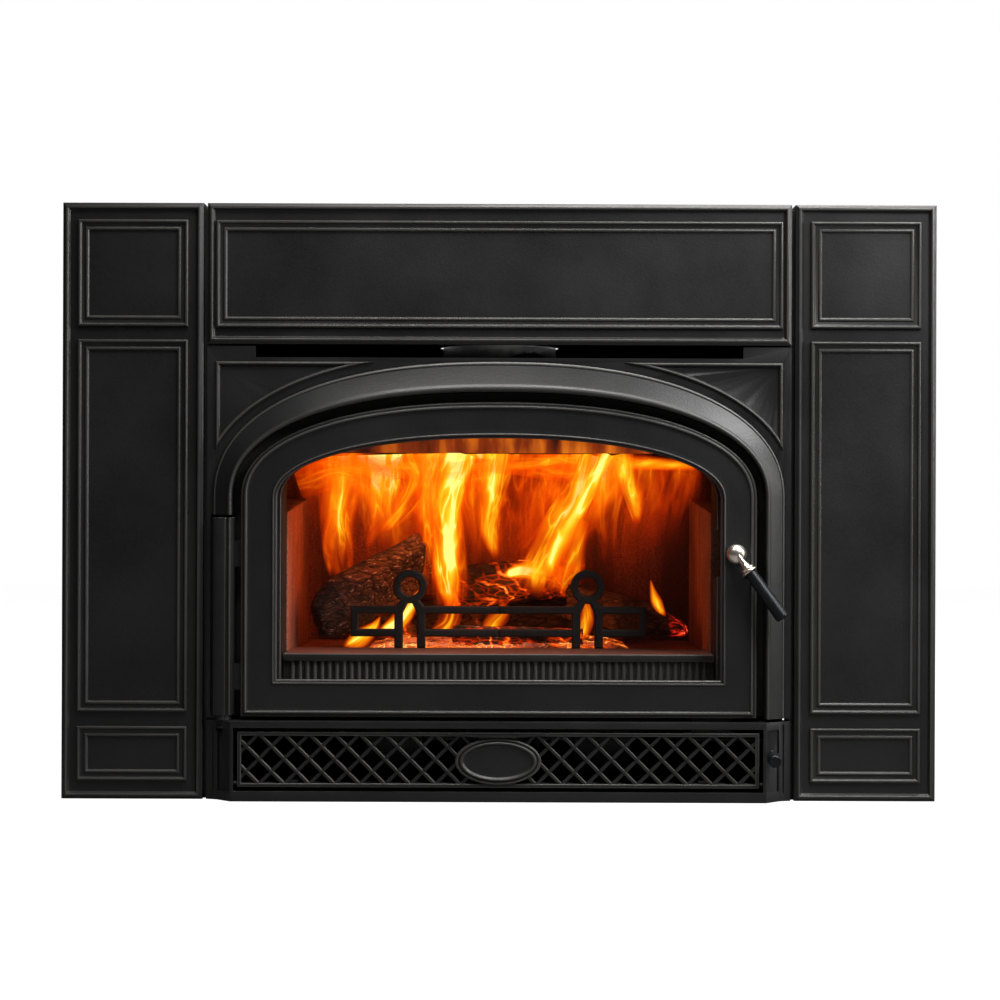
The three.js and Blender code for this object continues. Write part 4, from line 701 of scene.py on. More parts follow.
def mouldingPart(x0, x1, z0, z1):
    width = cp["mouldingWidth"]
    section = rounded([(0, -1), (0, 2.6), (1.2, 4), (2.8, 4), (4.4, 1.9), (8.8, 1), (10, 2.6),
        (width - 1.8, 2.6), (width, 0.6), (width, -1)], 0.8, 4, closed=True)
    rings = [at(rectangle(x0, x1, z0, z1, inset), cp["field"] + proud) for inset, proud in section]
    return skinPart(rings, cyclic=True)


seam = 0.04  # keeps the walls' corners apart from each other
back, underTop = cp["wall"] - cp["field"], cp["high"] - cp["wall"]
for side, word in ((-1, "left"), (1, "right")):
    near, far = cp["centreHalf"] + cp["joint"], cp["half"]
    x0, x1 = sorted((side * near, side * far))
    outer = sorted((side * (far - cp["wall"]), side * far))
    inner = sorted((side * near, side * (near + cp["wall"])))
    parts = [panelPart(x0, x1, 0, cp["high"])]
    for z0, z1 in cp["sideMouldings"]:
        parts.append(mouldingPart(x0 + cp["sideInset"], x1 - cp["sideInset"], z0, z1))
    parts.append(boxPart(outer[0] + seam, outer[1] - seam, back - 0.4, -seam, seam, underTop - seam))
    parts.append(boxPart(inner[0] + seam, inner[1] - seam, back - 0.4, back + 2.5, seam, underTop - seam))
    parts.append(boxPart(x0, x1, back - 0.5, 0, underTop, cp["high"]))
    piece("surroundPanel_" + word, parts, "cast", "stove", ("surround_" + word,))
half, inset = cp["centreHalf"], cp["topInset"]
parts = [panelPart(-half, half, cp["topPanel"], cp["high"]),
    mouldingPart(-half + inset, half - inset, *cp["topMoulding"]),
    boxPart(-half, half, back - 0.5, 0, underTop, cp["high"])]
piece("surroundPanel_top", parts, "cast", "stove", ("surround_top",))
print("surround made")

# facade, rib and front frame

facadeShape = {"half": 356.9, "bottom": 101.0, "top": 553.7, "notchHalf": 298.0, "notch": 540.0,
    "front": -38.0, "back": -33.0, "field": -36.6, "beadWidth": 5.0}
ribShape = {"half": 348.7, "rise": 168.0, "power": 2.3, "bottom": 101.0, "innerHalf": 325.0,
    "innerRise": 131.0, "face": 54.0, "outerFace": 41.0, "root": 20.0, "leftBottom": 347.5, "steps": 150}
spandrelShape = {"top": 534.7, "side": 346.3, "margin": 11.0, "steps": 40}
fc, rs, sp = facadeShape, ribShape, spandrelShape


def spandrelOutline(inset):
    half = rs["half"] + sp["margin"] + inset
    rise = rs["rise"] + sp["margin"] + inset
    top = sp["top"] - inset - springHeight
    side = sp["side"] - inset
    power = rs["power"]
    right = half * (1 - (top / rise) ** power) ** (1 / power)
    start, end = math.acos((right / half) ** (power / 2)), math.acos((side / half) ** (power / 2))
    points = [(-side, springHeight + top)]
    for i in range(sp["steps"] + 1):
        angle = start + (end - start) * i / sp["steps"]
        x = -half * math.cos(angle) ** (2 / power)
        points.append((x, springHeight + rise * math.sin(angle) ** (2 / power)))
    return points


legs = [(x, max(z, fc["bottom"])) for x, z in archOutline(rs, -0.8)]
edge = [(fc["half"], fc["bottom"]), (fc["half"], fc["top"]), (fc["notchHalf"], fc["top"]),
    (fc["notchHalf"], fc["notch"])]
outline = edge + [(-x, z) for x, z in edge[::-1]] + legs[::-1]
facade = toObject("facade", meshOf("facade", [prismY(outline, fc["front"], fc["back"])]))
for flip in (1, -1):
    shape = [(flip * x, z) for x, z in spandrelOutline(fc["beadWidth"])]
    cutAway(facade, [prismY(shape, fc["front"] - 10, fc["field"])])
cutAway(facade, [boxPart(-352.2, -336, -50, 0, 90, rs["leftBottom"])])
bevelled(facade, 0.8, 3)
baked(facade, "cast")
settle(facade, "facadePlate", "stove", ("facade_plate",))

# beads round the spandrels, and the small tab that closes the corner at the hinge post's foot
section = rounded([(0, -1), (0, 1), (1.2, 2.6), (2.8, 2.6), (4, 0.6), (5, -0.2), (5, -1)], 0.7, closed=True)
beads = []
for flip in (1, -1):
    rings = [at([(flip * x, z) for x, z in spandrelOutline(inset)], proud - fc["front"])
        for inset, proud in section]
    beads.append(skinPart(rings, cyclic=True))
facadeFoot = boxPart(-355, -341, -33.5, -30.5, 97.3, 114)
piece("spandrelBeads", beads + [facadeFoot], "cast", "stove", ())

# the rib: one section swept along two arches, with a long right leg and a short left one
face, outerFace, wide = rs["face"], rs["outerFace"], rs["half"] - rs["innerHalf"]
ribSection = rounded([(0, rs["root"]), (0, face - 2.4), (1.2, face - 0.5), (2.6, face), (4, face - 0.8),
    (5.7, face - 2.6), (20.9, outerFace + 0.9), (22, outerFace + 1.4), (wide, outerFace),
    (wide, rs["root"])], 0.9, closed=True)


def ribStation(inner, outer):
    ring = []
    for u, ahead in ribSection:
        x, z = (a + (b - a) * u / wide for a, b in zip(inner, outer))
        ring.append((x, -ahead, z))
    return ring


innerCurve = archCurve(rs["innerHalf"], rs["innerRise"], rs["power"], rs["steps"])
outerCurve = archCurve(rs["half"], rs["rise"], rs["power"], rs["steps"])
rings = [ribStation((rs["innerHalf"], rs["bottom"]), (rs["half"], rs["bottom"]))]
rings += [ribStation(a, b) for a, b in zip(innerCurve, outerCurve)]
rings.append(ribStation((-rs["innerHalf"], rs["leftBottom"]), (-rs["half"], rs["leftBottom"])))
piece("archedRib", [skinPart(rings)], "cast", "stove", ())

# the frame's plate, with the strike's pocket and the hinge pin's bore
plateArch = {"half": 346.0, "rise": 165.0, "power": 2.3, "bottom": 101.5}
throatArch = {"half": 268.0, "rise": 82.0, "power": 2.2, "bottom": 138.0}
plateFront, plateBack, plateEdge = 25, 13, 0.8
plate = skinPart([at(archOutline(arch, inset), ahead) for arch, inset, ahead in (
    (plateArch, plateEdge, plateFront), (plateArch, 0, plateFront - plateEdge), (plateArch, 0, plateBack),
    (throatArch, 0, plateBack), (throatArch, 0, plateFront - plateEdge),
    (throatArch, -plateEdge, plateFront))], cyclic=True)
frontFrame = toObject("frontFrame", meshOf("frontFrame", [plate]))
cutAway(frontFrame, [boxPart(264, 302, -26, -12, 273, 330)])
cutAway(frontFrame, [lathePart([(0, 0), (5, 0), (5, 30), (0, 30)], (-336, -40, 340), (0, 0, 1), 24)])
finishMesh(frontFrame.data, "castInner")
settle(frontFrame, "frontFramePlate", "stove", ("front_frame",))

jambShape = {"inner": 268, "outer": 272, "front": -15, "back": 42, "low": 139.3, "high": 443,
    "gapLow": 273, "gapHigh": 330, "slope": 7}
js = jambShape
frontAt, backAt = js["front"] + js["slope"], js["back"]
jambLow = [(js["front"], js["low"]), (backAt, js["low"]), (backAt, js["gapLow"] - js["slope"]),
    (frontAt, js["gapLow"]), (js["front"], js["gapLow"])]
jambHigh = [(js["front"], js["gapHigh"]), (frontAt, js["gapHigh"]), (backAt, js["gapHigh"] + js["slope"]),
    (backAt, js["high"]), (js["front"], js["high"])]
jambs = toObject("jambs", meshOf("jambs", [
    boxPart(-js["outer"], -js["inner"], js["front"], js["back"], js["low"], js["high"]),
    prismX(jambLow, js["inner"], js["outer"]), prismX(jambHigh, js["inner"], js["outer"])]))
bevelled(jambs, 0.5, 2)
settle(baked(jambs, "castInner"), "throatJambs", "stove", ())
print("facade and rib made")

# door

doorShape = {"half": 314.5, "rise": 118.7, "power": 2.3, "bottom": 101.0}
openingShape = {"half": 270.4, "rise": 74.6, "power": 2.2, "bottom": 147.0}
face, back, lip, groove = 47.0, 34.0, 41.0, 37.0
outerSteps = rounded([(0, back + 2), (0, face - 2.5), (1.2, face - 1), (4.2, face - 1), (5, face + 2.3),
    (7.2, face + 2.3), (8.4, face), (14, face)], 0.8)
innerSteps = rounded([(12, face), (5.8, face), (5.2, face + 1.2), (3.8, face + 1.2), (3, face - 2.4),
    (1.4, face - 2.4), (0, face - 3.8), (0, lip), (9.1, lip), (9.1, back)], 0.5)
backSteps = rounded([(11, back), (11, groove), (3, groove), (3, back), (1.2, back), (0, back + 2)], 0.3)
rings = [at(archOutline(doorShape, inset), ahead) for inset, ahead in outerSteps]
rings += [at(archOutline(openingShape, -grow), ahead) for grow, ahead in innerSteps]
rings += [at(archOutline(doorShape, inset), ahead) for inset, ahead in backSteps[:-1]]
latchAt = {"x": 289.0, "z": 301.5}
boss = [(5.5, 0), (8, 0), (8, 5), (5.5, 5), (5.5, 0)]
parts = [skinPart(rings, cyclic=True)]
for low in (134, 284):
    parts.append(boxPart(-328, -313, -42.5, -35.5, low, low + 32))
parts.append(lathePart(boss, (latchAt["x"], -back, latchAt["z"]), (0, 1, 0), 32))
piece("doorCasting", parts, "cast", "door", ("door_frame",))

# rope seal, laid round the back of the door
ropeShape = {"inset": 7.0, "width": 7.0, "deep": 10.6, "middle": 31.0, "sides": 10, "steps": 150}
rings = []
for k in range(ropeShape["sides"]):
    angle = 2 * math.pi * k / ropeShape["sides"]
    across, proud = math.cos(angle) * ropeShape["width"] / 2, math.sin(angle) * ropeShape["deep"] / 2
    line = archOutline(doorShape, ropeShape["inset"] + across, ropeShape["steps"])
    rings.append(at(line, ropeShape["middle"] + proud))
piece("doorRopeSeal", [skinPart(rings, cyclic=True)], "rope", "door", ("door_gasket",), 180)
print("door made")

# handle and air knob

handleShape = {"lean": 35.0, "tilt": 10.0, "root": 56.0, "hubBack": 47.3, "hub": 12.2, "neck": 27.0,
    "grip": 68.0, "gripRadius": 7.5, "gripEnd": 8.5}
hs = handleShape
lean, tilt = math.radians(hs["lean"]), math.radians(hs["tilt"])
arm = Vector((math.sin(lean) * math.cos(tilt), -math.sin(tilt), -math.cos(lean) * math.cos(tilt)))
root = Vector((latchAt["x"], -hs["root"], latchAt["z"]))
hub, end, gripRadius, gripEnd = hs["hub"], hs["grip"], hs["gripRadius"], hs["gripEnd"]
dome = rounded([(0, 0), (hub - 1, 0), (hub, 1.2), (hub, 3), (hub - 0.8, 6), (hub - 3.4, 9.4),
    (hub - 8, 11.8), (0, 12.4)], 3.0, 5)
neck = rounded([(0, 0), (3.3, 0), (3.4, 8), (4.4, 15.5), (6.6, 20), (8.4, 21), (8.7, 22), (7.7, 23.3),
    (10, 24.7), (10, 26.6), (9.4, 27), (3, 27), (3, 56), (0, 56)], 1.2, 4)
parts = [lathePart(dome, (latchAt["x"], -hs["hubBack"], latchAt["z"]), (0, -1, 0)),
    lathePart(neck, root, arm)]
piece("handleHubTurned", parts, "nickel", "handle", ("handle_hub",), 50)
gripLine = rounded([(3.2, 0), (gripRadius - 0.7, 0), (gripRadius, 0.9), (gripRadius + 0.1, 20),
    (gripEnd, end - 2.4), (gripEnd - 0.9, end - 0.7), (gripEnd - 2, end), (0, end)], 1.6, 4)
parts = [lathePart(gripLine, root + arm * (hs["neck"] + 0.3), arm, 48)]
piece("handleGripMoulded", parts, "grip", "handle", ("handle_grip",), 50)

knobShape = {"start": (333, -50, 60), "slope": 13.0, "gap": 6.0}
slope = math.radians(knobShape["slope"])
outwards = Vector((0, -math.cos(slope), -math.sin(slope)))
knobLine = rounded([(0, 0), (5, 0), (4.6, 6), (7, 12), (8, 16), (8, 24), (6.5, 26), (4.5, 25.4), (0, 25.4)],
    1.8, 4)
parts = [lathePart(knobLine, Vector(knobShape["start"]) + outwards * knobShape["gap"], outwards, 48)]
piece("airKnobMoulded", parts, "grip", "air_control", ("air_knob",), 50)
print("handle and knob made")

# tools for what repeats


def growGroup(name, inputs):
    inputs = {"Geometry": ("Geometry", None), **inputs, "Finish": ("Material", None)}
    return newGroup(name, inputs, {"Geometry": "Geometry"}, "GeometryNodeTree")


# the end of each tree: the shape set on the points, made real and given its finish
def setOnPoints(tree, gives, finish, points, shape, placing):
    placed = addNode(tree, "GeometryNodeInstanceOnPoints", {"Points": points, "Instance": shape, **placing})
    real = addNode(tree, "GeometryNodeRealizeInstances", {"Geometry": placed.outputs["Instances"]})
    dressed = addNode(tree, "GeometryNodeSetMaterial", {"Geometry": real.outputs["Geometry"],
        "Material": finish})
    tree.links.new(dressed.outputs["Geometry"], gives["Geometry"])


# runs a tree over points that carry its fields, and keeps the plain mesh
def grown(name, tree, inputs, look, smooth=32, spots=(), fields=None):
    mesh = bpy.data.meshes.new(name + "Points")
    mesh.from_pydata([tuple(c * mm for c in spot) for spot in spots], [], [])
    for field, values in (fields or {}).items():
        if isinstance(values[0], tuple):
            data = mesh.attributes.new(field, "FLOAT_VECTOR", "POINT").data
            data.foreach_set("vector", [c for value in values for c in value])
        else:
            mesh.attributes.new(field, "FLOAT", "POINT").data.foreach_set("value", values)
    ob = toObject(name, mesh)
    change = ob.modifiers.new("grow", "NODES")
    change.node_group = tree
    for item in tree.interface.items_tree:
        if item.in_out == "INPUT" and item.name in inputs:
            change[item.identifier] = inputs[item.name]
    return baked(ob, look, smooth)


# grille: band, lattice, bare oval medallion

grilleShape = {"half": 316.8, "low": 17.0, "high": 84.4, "band": 5.0, "face": 56.0, "wall": 4.5,
    "pitch": 30.6, "bar": 5.0, "middle": 51.0, "overrun": 70.0, "shortest": 3.0}
gs = grilleShape


# bars on points: each point carries its bar's length and lean; the bar is a low ridge
def latticeTree():
    tree, given, gives = growGroup("latticeBars", {"Bar Width": ("Float", 0.005),
        "Bar Depth": ("Float", 0.0034), "Ridge": ("Float", 0.25)})
    chamfer = mathNode(tree, "MULTIPLY", given["Bar Width"], given["Ridge"])
    block = addNode(tree, "ShaderNodeCombineXYZ", {"X": given["Bar Width"], "Y": given["Bar Depth"],
        "Z": 1.0})
    cube = addNode(tree, "GeometryNodeMeshCube", {"Size": block.outputs[0]})
    where = addNode(tree, "GeometryNodeInputPosition").outputs[0]
    parts = addNode(tree, "ShaderNodeSeparateXYZ", {0: where}).outputs
    front = addNode(tree, "FunctionNodeCompare", {0: parts["Y"], 1: 0.0}, operation="LESS_THAN")
    inwards = mathNode(tree, "MULTIPLY", mathNode(tree, "SIGN", parts["X"]), chamfer)
    narrow = addNode(tree, "ShaderNodeCombineXYZ", {"X": mathNode(tree, "SUBTRACT", parts["X"], inwards),
        "Y": parts["Y"], "Z": parts["Z"]})
    bar = addNode(tree, "GeometryNodeSetPosition", {"Geometry": cube.outputs["Mesh"],
        "Selection": front.outputs[0], "Position": narrow.outputs[0]})
    lengthAt = addNode(tree, "GeometryNodeInputNamedAttribute", {"Name": "barLength"}, data_type="FLOAT")
    leanAt = addNode(tree, "GeometryNodeInputNamedAttribute", {"Name": "barLean"}, data_type="FLOAT")
    size = addNode(tree, "ShaderNodeCombineXYZ", {"X": 1.0, "Y": 1.0, "Z": lengthAt.outputs[0]})
    turn = addNode(tree, "ShaderNodeCombineXYZ", {"X": 0.0, "Y": leanAt.outputs[0], "Z": 0.0})
    setOnPoints(tree, gives, given["Finish"], given["Geometry"], bar.outputs["Geometry"],
        {"Rotation": turn.outputs[0], "Scale": size.outputs[0]})
    return tree


innerX = gs["half"] - gs["band"] + 1
barLow, barHigh = gs["low"] + gs["band"] - 1 - gs["middle"], gs["high"] - gs["band"] + 1 - gs["middle"]
litSide, litSteep, litFlat = 0.6, -0.95, -0.2  # which facets of the bars the key lamp picks out
for word, slope, ridge, rise in (("down", -1, 0.2, 4.0), ("up", 1, 0.12, 3.2)):
    spots, lengths, leans = [], [], []
    count = int((gs["half"] + gs["overrun"]) / gs["pitch"])
    for k in range(-count, count):
        x = (k + 0.5) * gs["pitch"]
        low = max(barLow, -innerX - slope * x)
        high = min(barHigh, innerX - slope * x)
        if high - low < gs["shortest"]:
            continue
        m = (low + high) / 2
        spots.append((x + slope * m, -(gs["face"] - gs["wall"]) - rise / 2 + 0.2, gs["middle"] + m))
        lengths.append((high - low) * math.sqrt(2) * mm)
        leans.append(slope * math.pi / 4)
    bars = grown("bars" + word, latticeTree(), {"Bar Width": gs["bar"] * mm, "Bar Depth": rise * mm,
        "Ridge": ridge, "Finish": looks["cast"]}, "cast", 32, spots, {"barLength": lengths, "barLean": leans})
    # painted highlight: facets facing up and to the right, towards the key lamp, take the paint's light crest
    # colour
    normals = [face.normal for face in bars.data.polygons]
    lit = [float(n.x + n.z > litSide and litSteep < n.y < litFlat) for n in normals]
    bars.data.attributes["crestHighlight"].data.foreach_set("value", lit)
    settle(bars, "latticeBars_" + word, "grille_panel", ())

bandLine = rounded([(0, 51.5), (0, 55.2), (0.9, 56), (4.1, 56), (5, 55.2), (5, 51.5)], 0.6, closed=True)
rings = [at(rectangle(-gs["half"], gs["half"], gs["low"], gs["high"], inset), ahead)
    for inset, ahead in bandLine]
parts = [skinPart(rings, cyclic=True)]

medallionShape = {"halfWide": 52.4, "halfHigh": 28.5, "middle": 49.3, "evenness": 0.82, "steps": 96}
ms = medallionShape
ovalLine = rounded([(0, 52.1), (0, 57), (1.2, 58.2), (3.2, 58.2), (4.6, 56.8), (6.2, 59.4), (7.2, 59.8),
    (8.8, 59.6), (11.2, 57.2), (16, 57.0)], 1.0)
rings = []
for inset, ahead in ovalLine:
    wide, high = ms["halfWide"] - inset, ms["halfHigh"] - inset * ms["evenness"]
    angles = [2 * math.pi * k / ms["steps"] for k in range(ms["steps"])]
    rings.append([(wide * math.cos(a), -ahead, ms["middle"] + high * math.sin(a)) for a in angles])
parts.append(skinPart(rings))

fingerLip = {"half": 60.5, "sag": 3.6, "below": 2.6, "thick": 2.2, "steps": 20, "front": -60, "back": -55}
fl = fingerLip
curve = []  # the lip's lower edge, which sags in its middle
for k in range(2 * fl["steps"] + 1):
    t = k / fl["steps"] - 1
    curve.append((fl["half"] * t, gs["high"] - fl["below"] - fl["sag"] * (1 - t ** 2)))
parts.append(prismY(curve + [(x, z + fl["thick"]) for x, z in curve[::-1]], fl["front"], fl["back"]))
lugHalf = 7
for x in (-250, 0, 250):
    parts.append(boxPart(x - lugHalf, x + lugHalf, -52, -43.5, 17.4, 26))
piece("grilleBandAndMedallion", parts, "cast", "grille_panel", ("grille",))
print("grille made")

# hearth ledge: slab with a fluted front

ledgeShape = {"half": 266.0, "front": -12.4, "back": 91.6, "low": 167.0, "high": 176.0,
    "riserFront": -10.4, "riserBack": -3.4, "riserLow": 139.3, "pitch": 9.1, "flute": 2.9, "rearWall": 6.0}
ls = ledgeShape


# half-round reeds side by side, set along a line
def fluteTree():
    tree, given, gives = growGroup("fluteRow", {"Count": ("Int", 58), "Pitch": ("Float", 0.0091),
        "Radius": ("Float", 0.0029), "Height": ("Float", 0.028)})
    step = addNode(tree, "ShaderNodeCombineXYZ", {"X": given["Pitch"], "Y": 0.0, "Z": 0.0})
    row = addNode(tree, "GeometryNodeMeshLine", {"Count": given["Count"], "Offset": step.outputs[0]})
    reed = addNode(tree, "GeometryNodeMeshCylinder", {"Vertices": 24, "Radius": given["Radius"],
        "Depth": given["Height"]})
    setOnPoints(tree, gives, given["Finish"], row.outputs["Mesh"], reed.outputs["Mesh"], {})
    return tree


count = int((2 * ls["half"] - 6) / ls["pitch"])
reeds = grown("reeds", fluteTree(), {"Count": count, "Pitch": ls["pitch"] * mm, "Radius": ls["flute"] * mm,
    "Height": (ls["low"] - ls["riserLow"] + 3) * mm, "Finish": looks["castInner"]}, "castInner", 40)
first = Vector((-(count - 1) / 2 * ls["pitch"], ls["riserFront"] + ls["flute"] + 0.6,
    (ls["riserLow"] + ls["low"] - 0.7) / 2))
reeds.data.transform(Matrix.Translation(first * mm))
# the slab's upward faces: a reddish-brown copy of the paint, with grey dust
looks["ashyTop"] = paintedCast("reddishCastTop", (0.07, 0.022, 0.013), (0.12, 0.042, 0.026), 0.6, dust=0.3)
half, under = ls["half"], ls["low"] + 1
slab = toObject("slab", meshOf("slab", [
    boxPart(-half, half, ls["front"], ls["back"], ls["low"], ls["high"]),
    boxPart(-half, half, ls["back"] - ls["rearWall"], ls["back"], 139.5, under),
    boxPart(-half, half, ls["riserFront"] + 2.6, ls["riserBack"], ls["riserLow"], under)]))
bevelled(slab, 1.2, 3)
baked(slab, "castInner")
slab.data.materials.append(looks["ashyTop"])
for face in slab.data.polygons:
    if face.normal.z > 0.9 and face.center.z > (ls["high"] - 1) * mm:
        face.material_index = 1
settle(slab, "hearthLedgeSlab", "stove", ("hearth_ledge",))
settle(reeds, "hearthLedgeFlutes", "stove", ())
print("ledge made")

# andirons

softened("andirons", "castInner", 1.1, 3, "andironFrame")

# logs

# each log's axis, its look and seed, how thin its first end is and where it is full, and how high it crowns
logShapes = {
    "log_back": {"ends": ((-170, 273, 203), (178, 276, 201)), "look": "barkLog", "seed": 3,
        "taper": (1.0, 1.0), "crown": 1.0},
    "log_centre": {"ends": ((-70, 226, 240), (96, 262, 262)), "look": "hotLog", "seed": 11,
        "taper": (0.5, 0.2), "crown": 1.15},
    "log_left": {"ends": ((-240, 138, 202), (-98, 226, 286)), "look": "splitLog", "seed": 21,
        "taper": (0.50, 0.20), "crown": 1.3},
    "log_right": {"ends": ((246, 140, 192), (96, 214, 226)), "look": "tipLog", "seed": 34,
        "taper": (0.35, 0.3), "crown": 1.7},
    "log_front": {"ends": ((-62, 132, 186), (112, 140, 185)), "look": "emberLog", "seed": 47,
        "taper": (1.0, 1.0), "crown": 1.0},
}
barkShape = {"fine": 3.2, "rounds": 7, "evening": 0.25, "skin": 0.9, "fibre": 1.1, "block": 1.4,
    "check": 3.2, "checkWidth": 0.16, "least": 0.05}
bk = barkShape


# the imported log's own surface, cut finer and roughened inwards with fibres, checks and knots
def roughenedLog(node, shape):
    mesh = placedCopy(node)
    bm = bmesh.new()
    bm.from_mesh(mesh)
    bmesh.ops.remove_doubles(bm, verts=bm.verts, dist=weld)
    bmesh.ops.triangulate(bm, faces=bm.faces)
    for step in range(bk["rounds"]):
        long = [e for e in bm.edges if e.calc_length() > bk["fine"] * mm]
        if not long:
            break
        bmesh.ops.subdivide_edges(bm, edges=long, cuts=1, use_grid_fill=False)
        bmesh.ops.triangulate(bm, faces=[f for f in bm.faces if len(f.verts) > 3])
        bmesh.ops.smooth_vert(bm, verts=bm.verts, factor=bk["evening"], use_axis_x=True, use_axis_y=True,
            use_axis_z=True)
    start, stop = (Vector(end) * mm for end in shape["ends"])
    axis = (stop - start).normalized()
    offset = Vector((shape["seed"] * 1.7, shape["seed"] * 0.9, 0))
    least, reach = shape["taper"]
    for vert in bm.verts:
        along = (vert.co - start).dot(axis)
        across = vert.co - start - axis * along
        part = min(max(along / (stop - start).length / reach, 0.0), 1.0)
        across *= least + (1 - least) * part ** 0.7
        across.z *= shape["crown"] if across.z > 0 else 1.0
        vert.co = start + axis * along + across
    bm.normal_update()
    for vert in bm.verts:
        along = (vert.co - start).dot(axis)
        x, y, z = vert.co - start - axis * along
        fibre = noise.noise(Vector((along * 9, x * 95, z * 95 + y * 60)) + offset)
        block = noise.cell_vector(Vector((along * 42, x * 30, z * 30)) + offset).x
        split = abs(noise.noise(Vector((along * 5, x * 38, z * 38 + y * 30)) + offset * 2))
        check = max(0.0, bk["checkWidth"] - split) / bk["checkWidth"]
        deep = bk["skin"] + bk["fibre"] * fibre + bk["block"] * block + bk["check"] * check
        vert.co -= vert.normal * max(deep, bk["least"]) * mm
    bm.to_mesh(mesh)
    bm.free()
    return mesh


for node, shape in logShapes.items():
    mesh = roughenedLog(node, shape)
    finishMesh(mesh, shape["look"], 60)
    settle(toObject(node, mesh), node + "_charred", "stove", (node,))
print("logs made")

# steel and lining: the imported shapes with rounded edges

plainPieces = {
    "steel": {"width": 0.5, "nodes": ["surround_bracket_left", "surround_bracket_right", "door_strike",
        "glass_clip_left", "glass_clip_right", "glass_clip_top", "glass_clip_bottom", "latch_pawl",
        "air_slide", "air_duct", "firebox_shell", "air_tube_1", "air_tube_2", "air_tube_3", "base_pan",
        "flue_collar", "blower_housing_left", "blower_housing_right", "blower_motor"]},
    "brick": {"width": 1.6, "nodes": ["floor_bricks", "left_brick_front", "left_brick_rear",
        "right_brick_front", "right_brick_rear"]},
    "backBrick": {"width": 1.6, "nodes": ["back_brick_left", "back_brick_middle", "back_brick_right"]},
    "cast": {"width": 0.9, "nodes": ["hinge_post", "lower_frame"]},
    "washBar": {"width": 0.6, "nodes": ["air_wash_bar"]},
    "zinc": {"width": 0.4, "nodes": ["levelling_bolt_left", "levelling_bolt_right"]},
    "board": {"width": 0.8, "nodes": ["baffle_board"]},
}
for look, group in plainPieces.items():
    for node in group["nodes"]:
        softened(node, look, group["width"], 3)

# folded cheeks that close the lower frame's ends against the casing; the damper plate passes between them
cheekShape = {"outer": 354.5, "inner": 344.0, "front": -34.0, "back": -20.2, "wall": 1.5, "low": 3.0,
    "high": 97.0}
ch = cheekShape
cheeks = []
for side in (-1, 1):
    outer, back = ch["outer"] - ch["wall"], ch["back"] - ch["wall"]
    fold = [(ch["outer"], ch["front"]), (ch["outer"], ch["back"]), (ch["inner"], ch["back"]),
        (ch["inner"], back), (outer, back), (outer, ch["front"])]
    cheeks.append(prismZ([(side * x, y) for x, y in fold], ch["low"], ch["high"]))
cheekOb = toObject("cheeks", meshOf("cheeks", cheeks))
bevelled(cheekOb, 0.3, 2)
settle(baked(cheekOb, "steel"), "lowerFrameCheeks", "stove", ())

# nodes that stay as packed, with their finishes
kept = {"zinc": ["latch_shaft", "blower_rotor"], "rope": ["glass_gasket"], "glass": ["door_glass"],
    "steel": ["hinge_pin_top", "hinge_pin_bottom", "grille_hinge_rod"]}
for look, nodes in kept.items():
    for node in nodes:
        mesh = frame["nodes"][node].data
        mesh.materials.clear()
        mesh.materials.append(looks[look])
print("steel and lining made")

# casing with its rows of sheet screws

softened("casing", "steel", 1.0, 3)


# a low hexagon head with a washer, set on each point and turned to face its side
def screwTree():
    tree, given, gives = growGroup("screwRow", {"Head": ("Float", 0.004), "Seed": ("Int", 5)})
    washer = addNode(tree, "GeometryNodeMeshCylinder", {"Vertices": 24, "Depth": 0.0012,
        "Radius": mathNode(tree, "MULTIPLY", given["Head"], 1.35)})
    hexagon = addNode(tree, "GeometryNodeMeshCone", {"Vertices": 6, "Radius Bottom": given["Head"],
        "Radius Top": mathNode(tree, "MULTIPLY", given["Head"], 0.86), "Depth": 0.0024})
    both = tree.nodes.new("GeometryNodeJoinGeometry")
    tree.links.new(washer.outputs["Mesh"], both.inputs[0])
    tree.links.new(hexagon.outputs["Mesh"], both.inputs[0])
    facing = addNode(tree, "GeometryNodeInputNamedAttribute", {"Name": "facing"}, data_type="FLOAT_VECTOR")
    turn = addNode(tree, "FunctionNodeAlignRotationToVector", {"Vector": facing.outputs[0]}, axis="Z")
    spin = addNode(tree, "FunctionNodeRandomValue", {2: 0.0, 3: 1.0, "Seed": given["Seed"]},
        data_type="FLOAT")
    own = addNode(tree, "FunctionNodeAxisAngleToRotation", {"Axis": (0.0, 0.0, 1.0),
        "Angle": spin.outputs[1]})
    rotated = addNode(tree, "FunctionNodeRotateRotation", {"Rotation": turn.outputs[0],
        "Rotate By": own.outputs[0]}, rotation_space="LOCAL")
    setOnPoints(tree, gives, given["Finish"], given["Geometry"], both.outputs[0],
        {"Rotation": rotated.outputs[0]})
    return tree


# the heads sit on the casing's sides, in rows a hand's breadth apart; the flue's corner has none
screwRows = {"side": 351.0, "front": 6.3, "rear": 380.0, "lowest": 120.0, "apart": 95.0, "rearTop": 440.0}
sr = screwRows
spots, facings = [], []
for side in (-1, 1):
    for k in range(5):
        z = sr["lowest"] + sr["apart"] * k
        for y in (sr["front"], sr["rear"]):
            if y == sr["rear"] and z > sr["rearTop"]:
                continue
            spots.append((side * sr["side"], y, z))
            facings.append((side, 0, 0))
screws = grown("screws", screwTree(), {"Finish": looks["zinc"], "Seed": 7}, "zinc", 32, spots,
    {"facing": facings})
settle(screws, "casingScrews", "stove", ())
print("casing made")

# ember bed

bedShape = {"half": 172.0, "front": 100.0, "back": 300.0, "low": 170.3, "step": 2.4, "thick": 6.5,
    "lump": 4.2, "grit": 2.6}
bs = bedShape


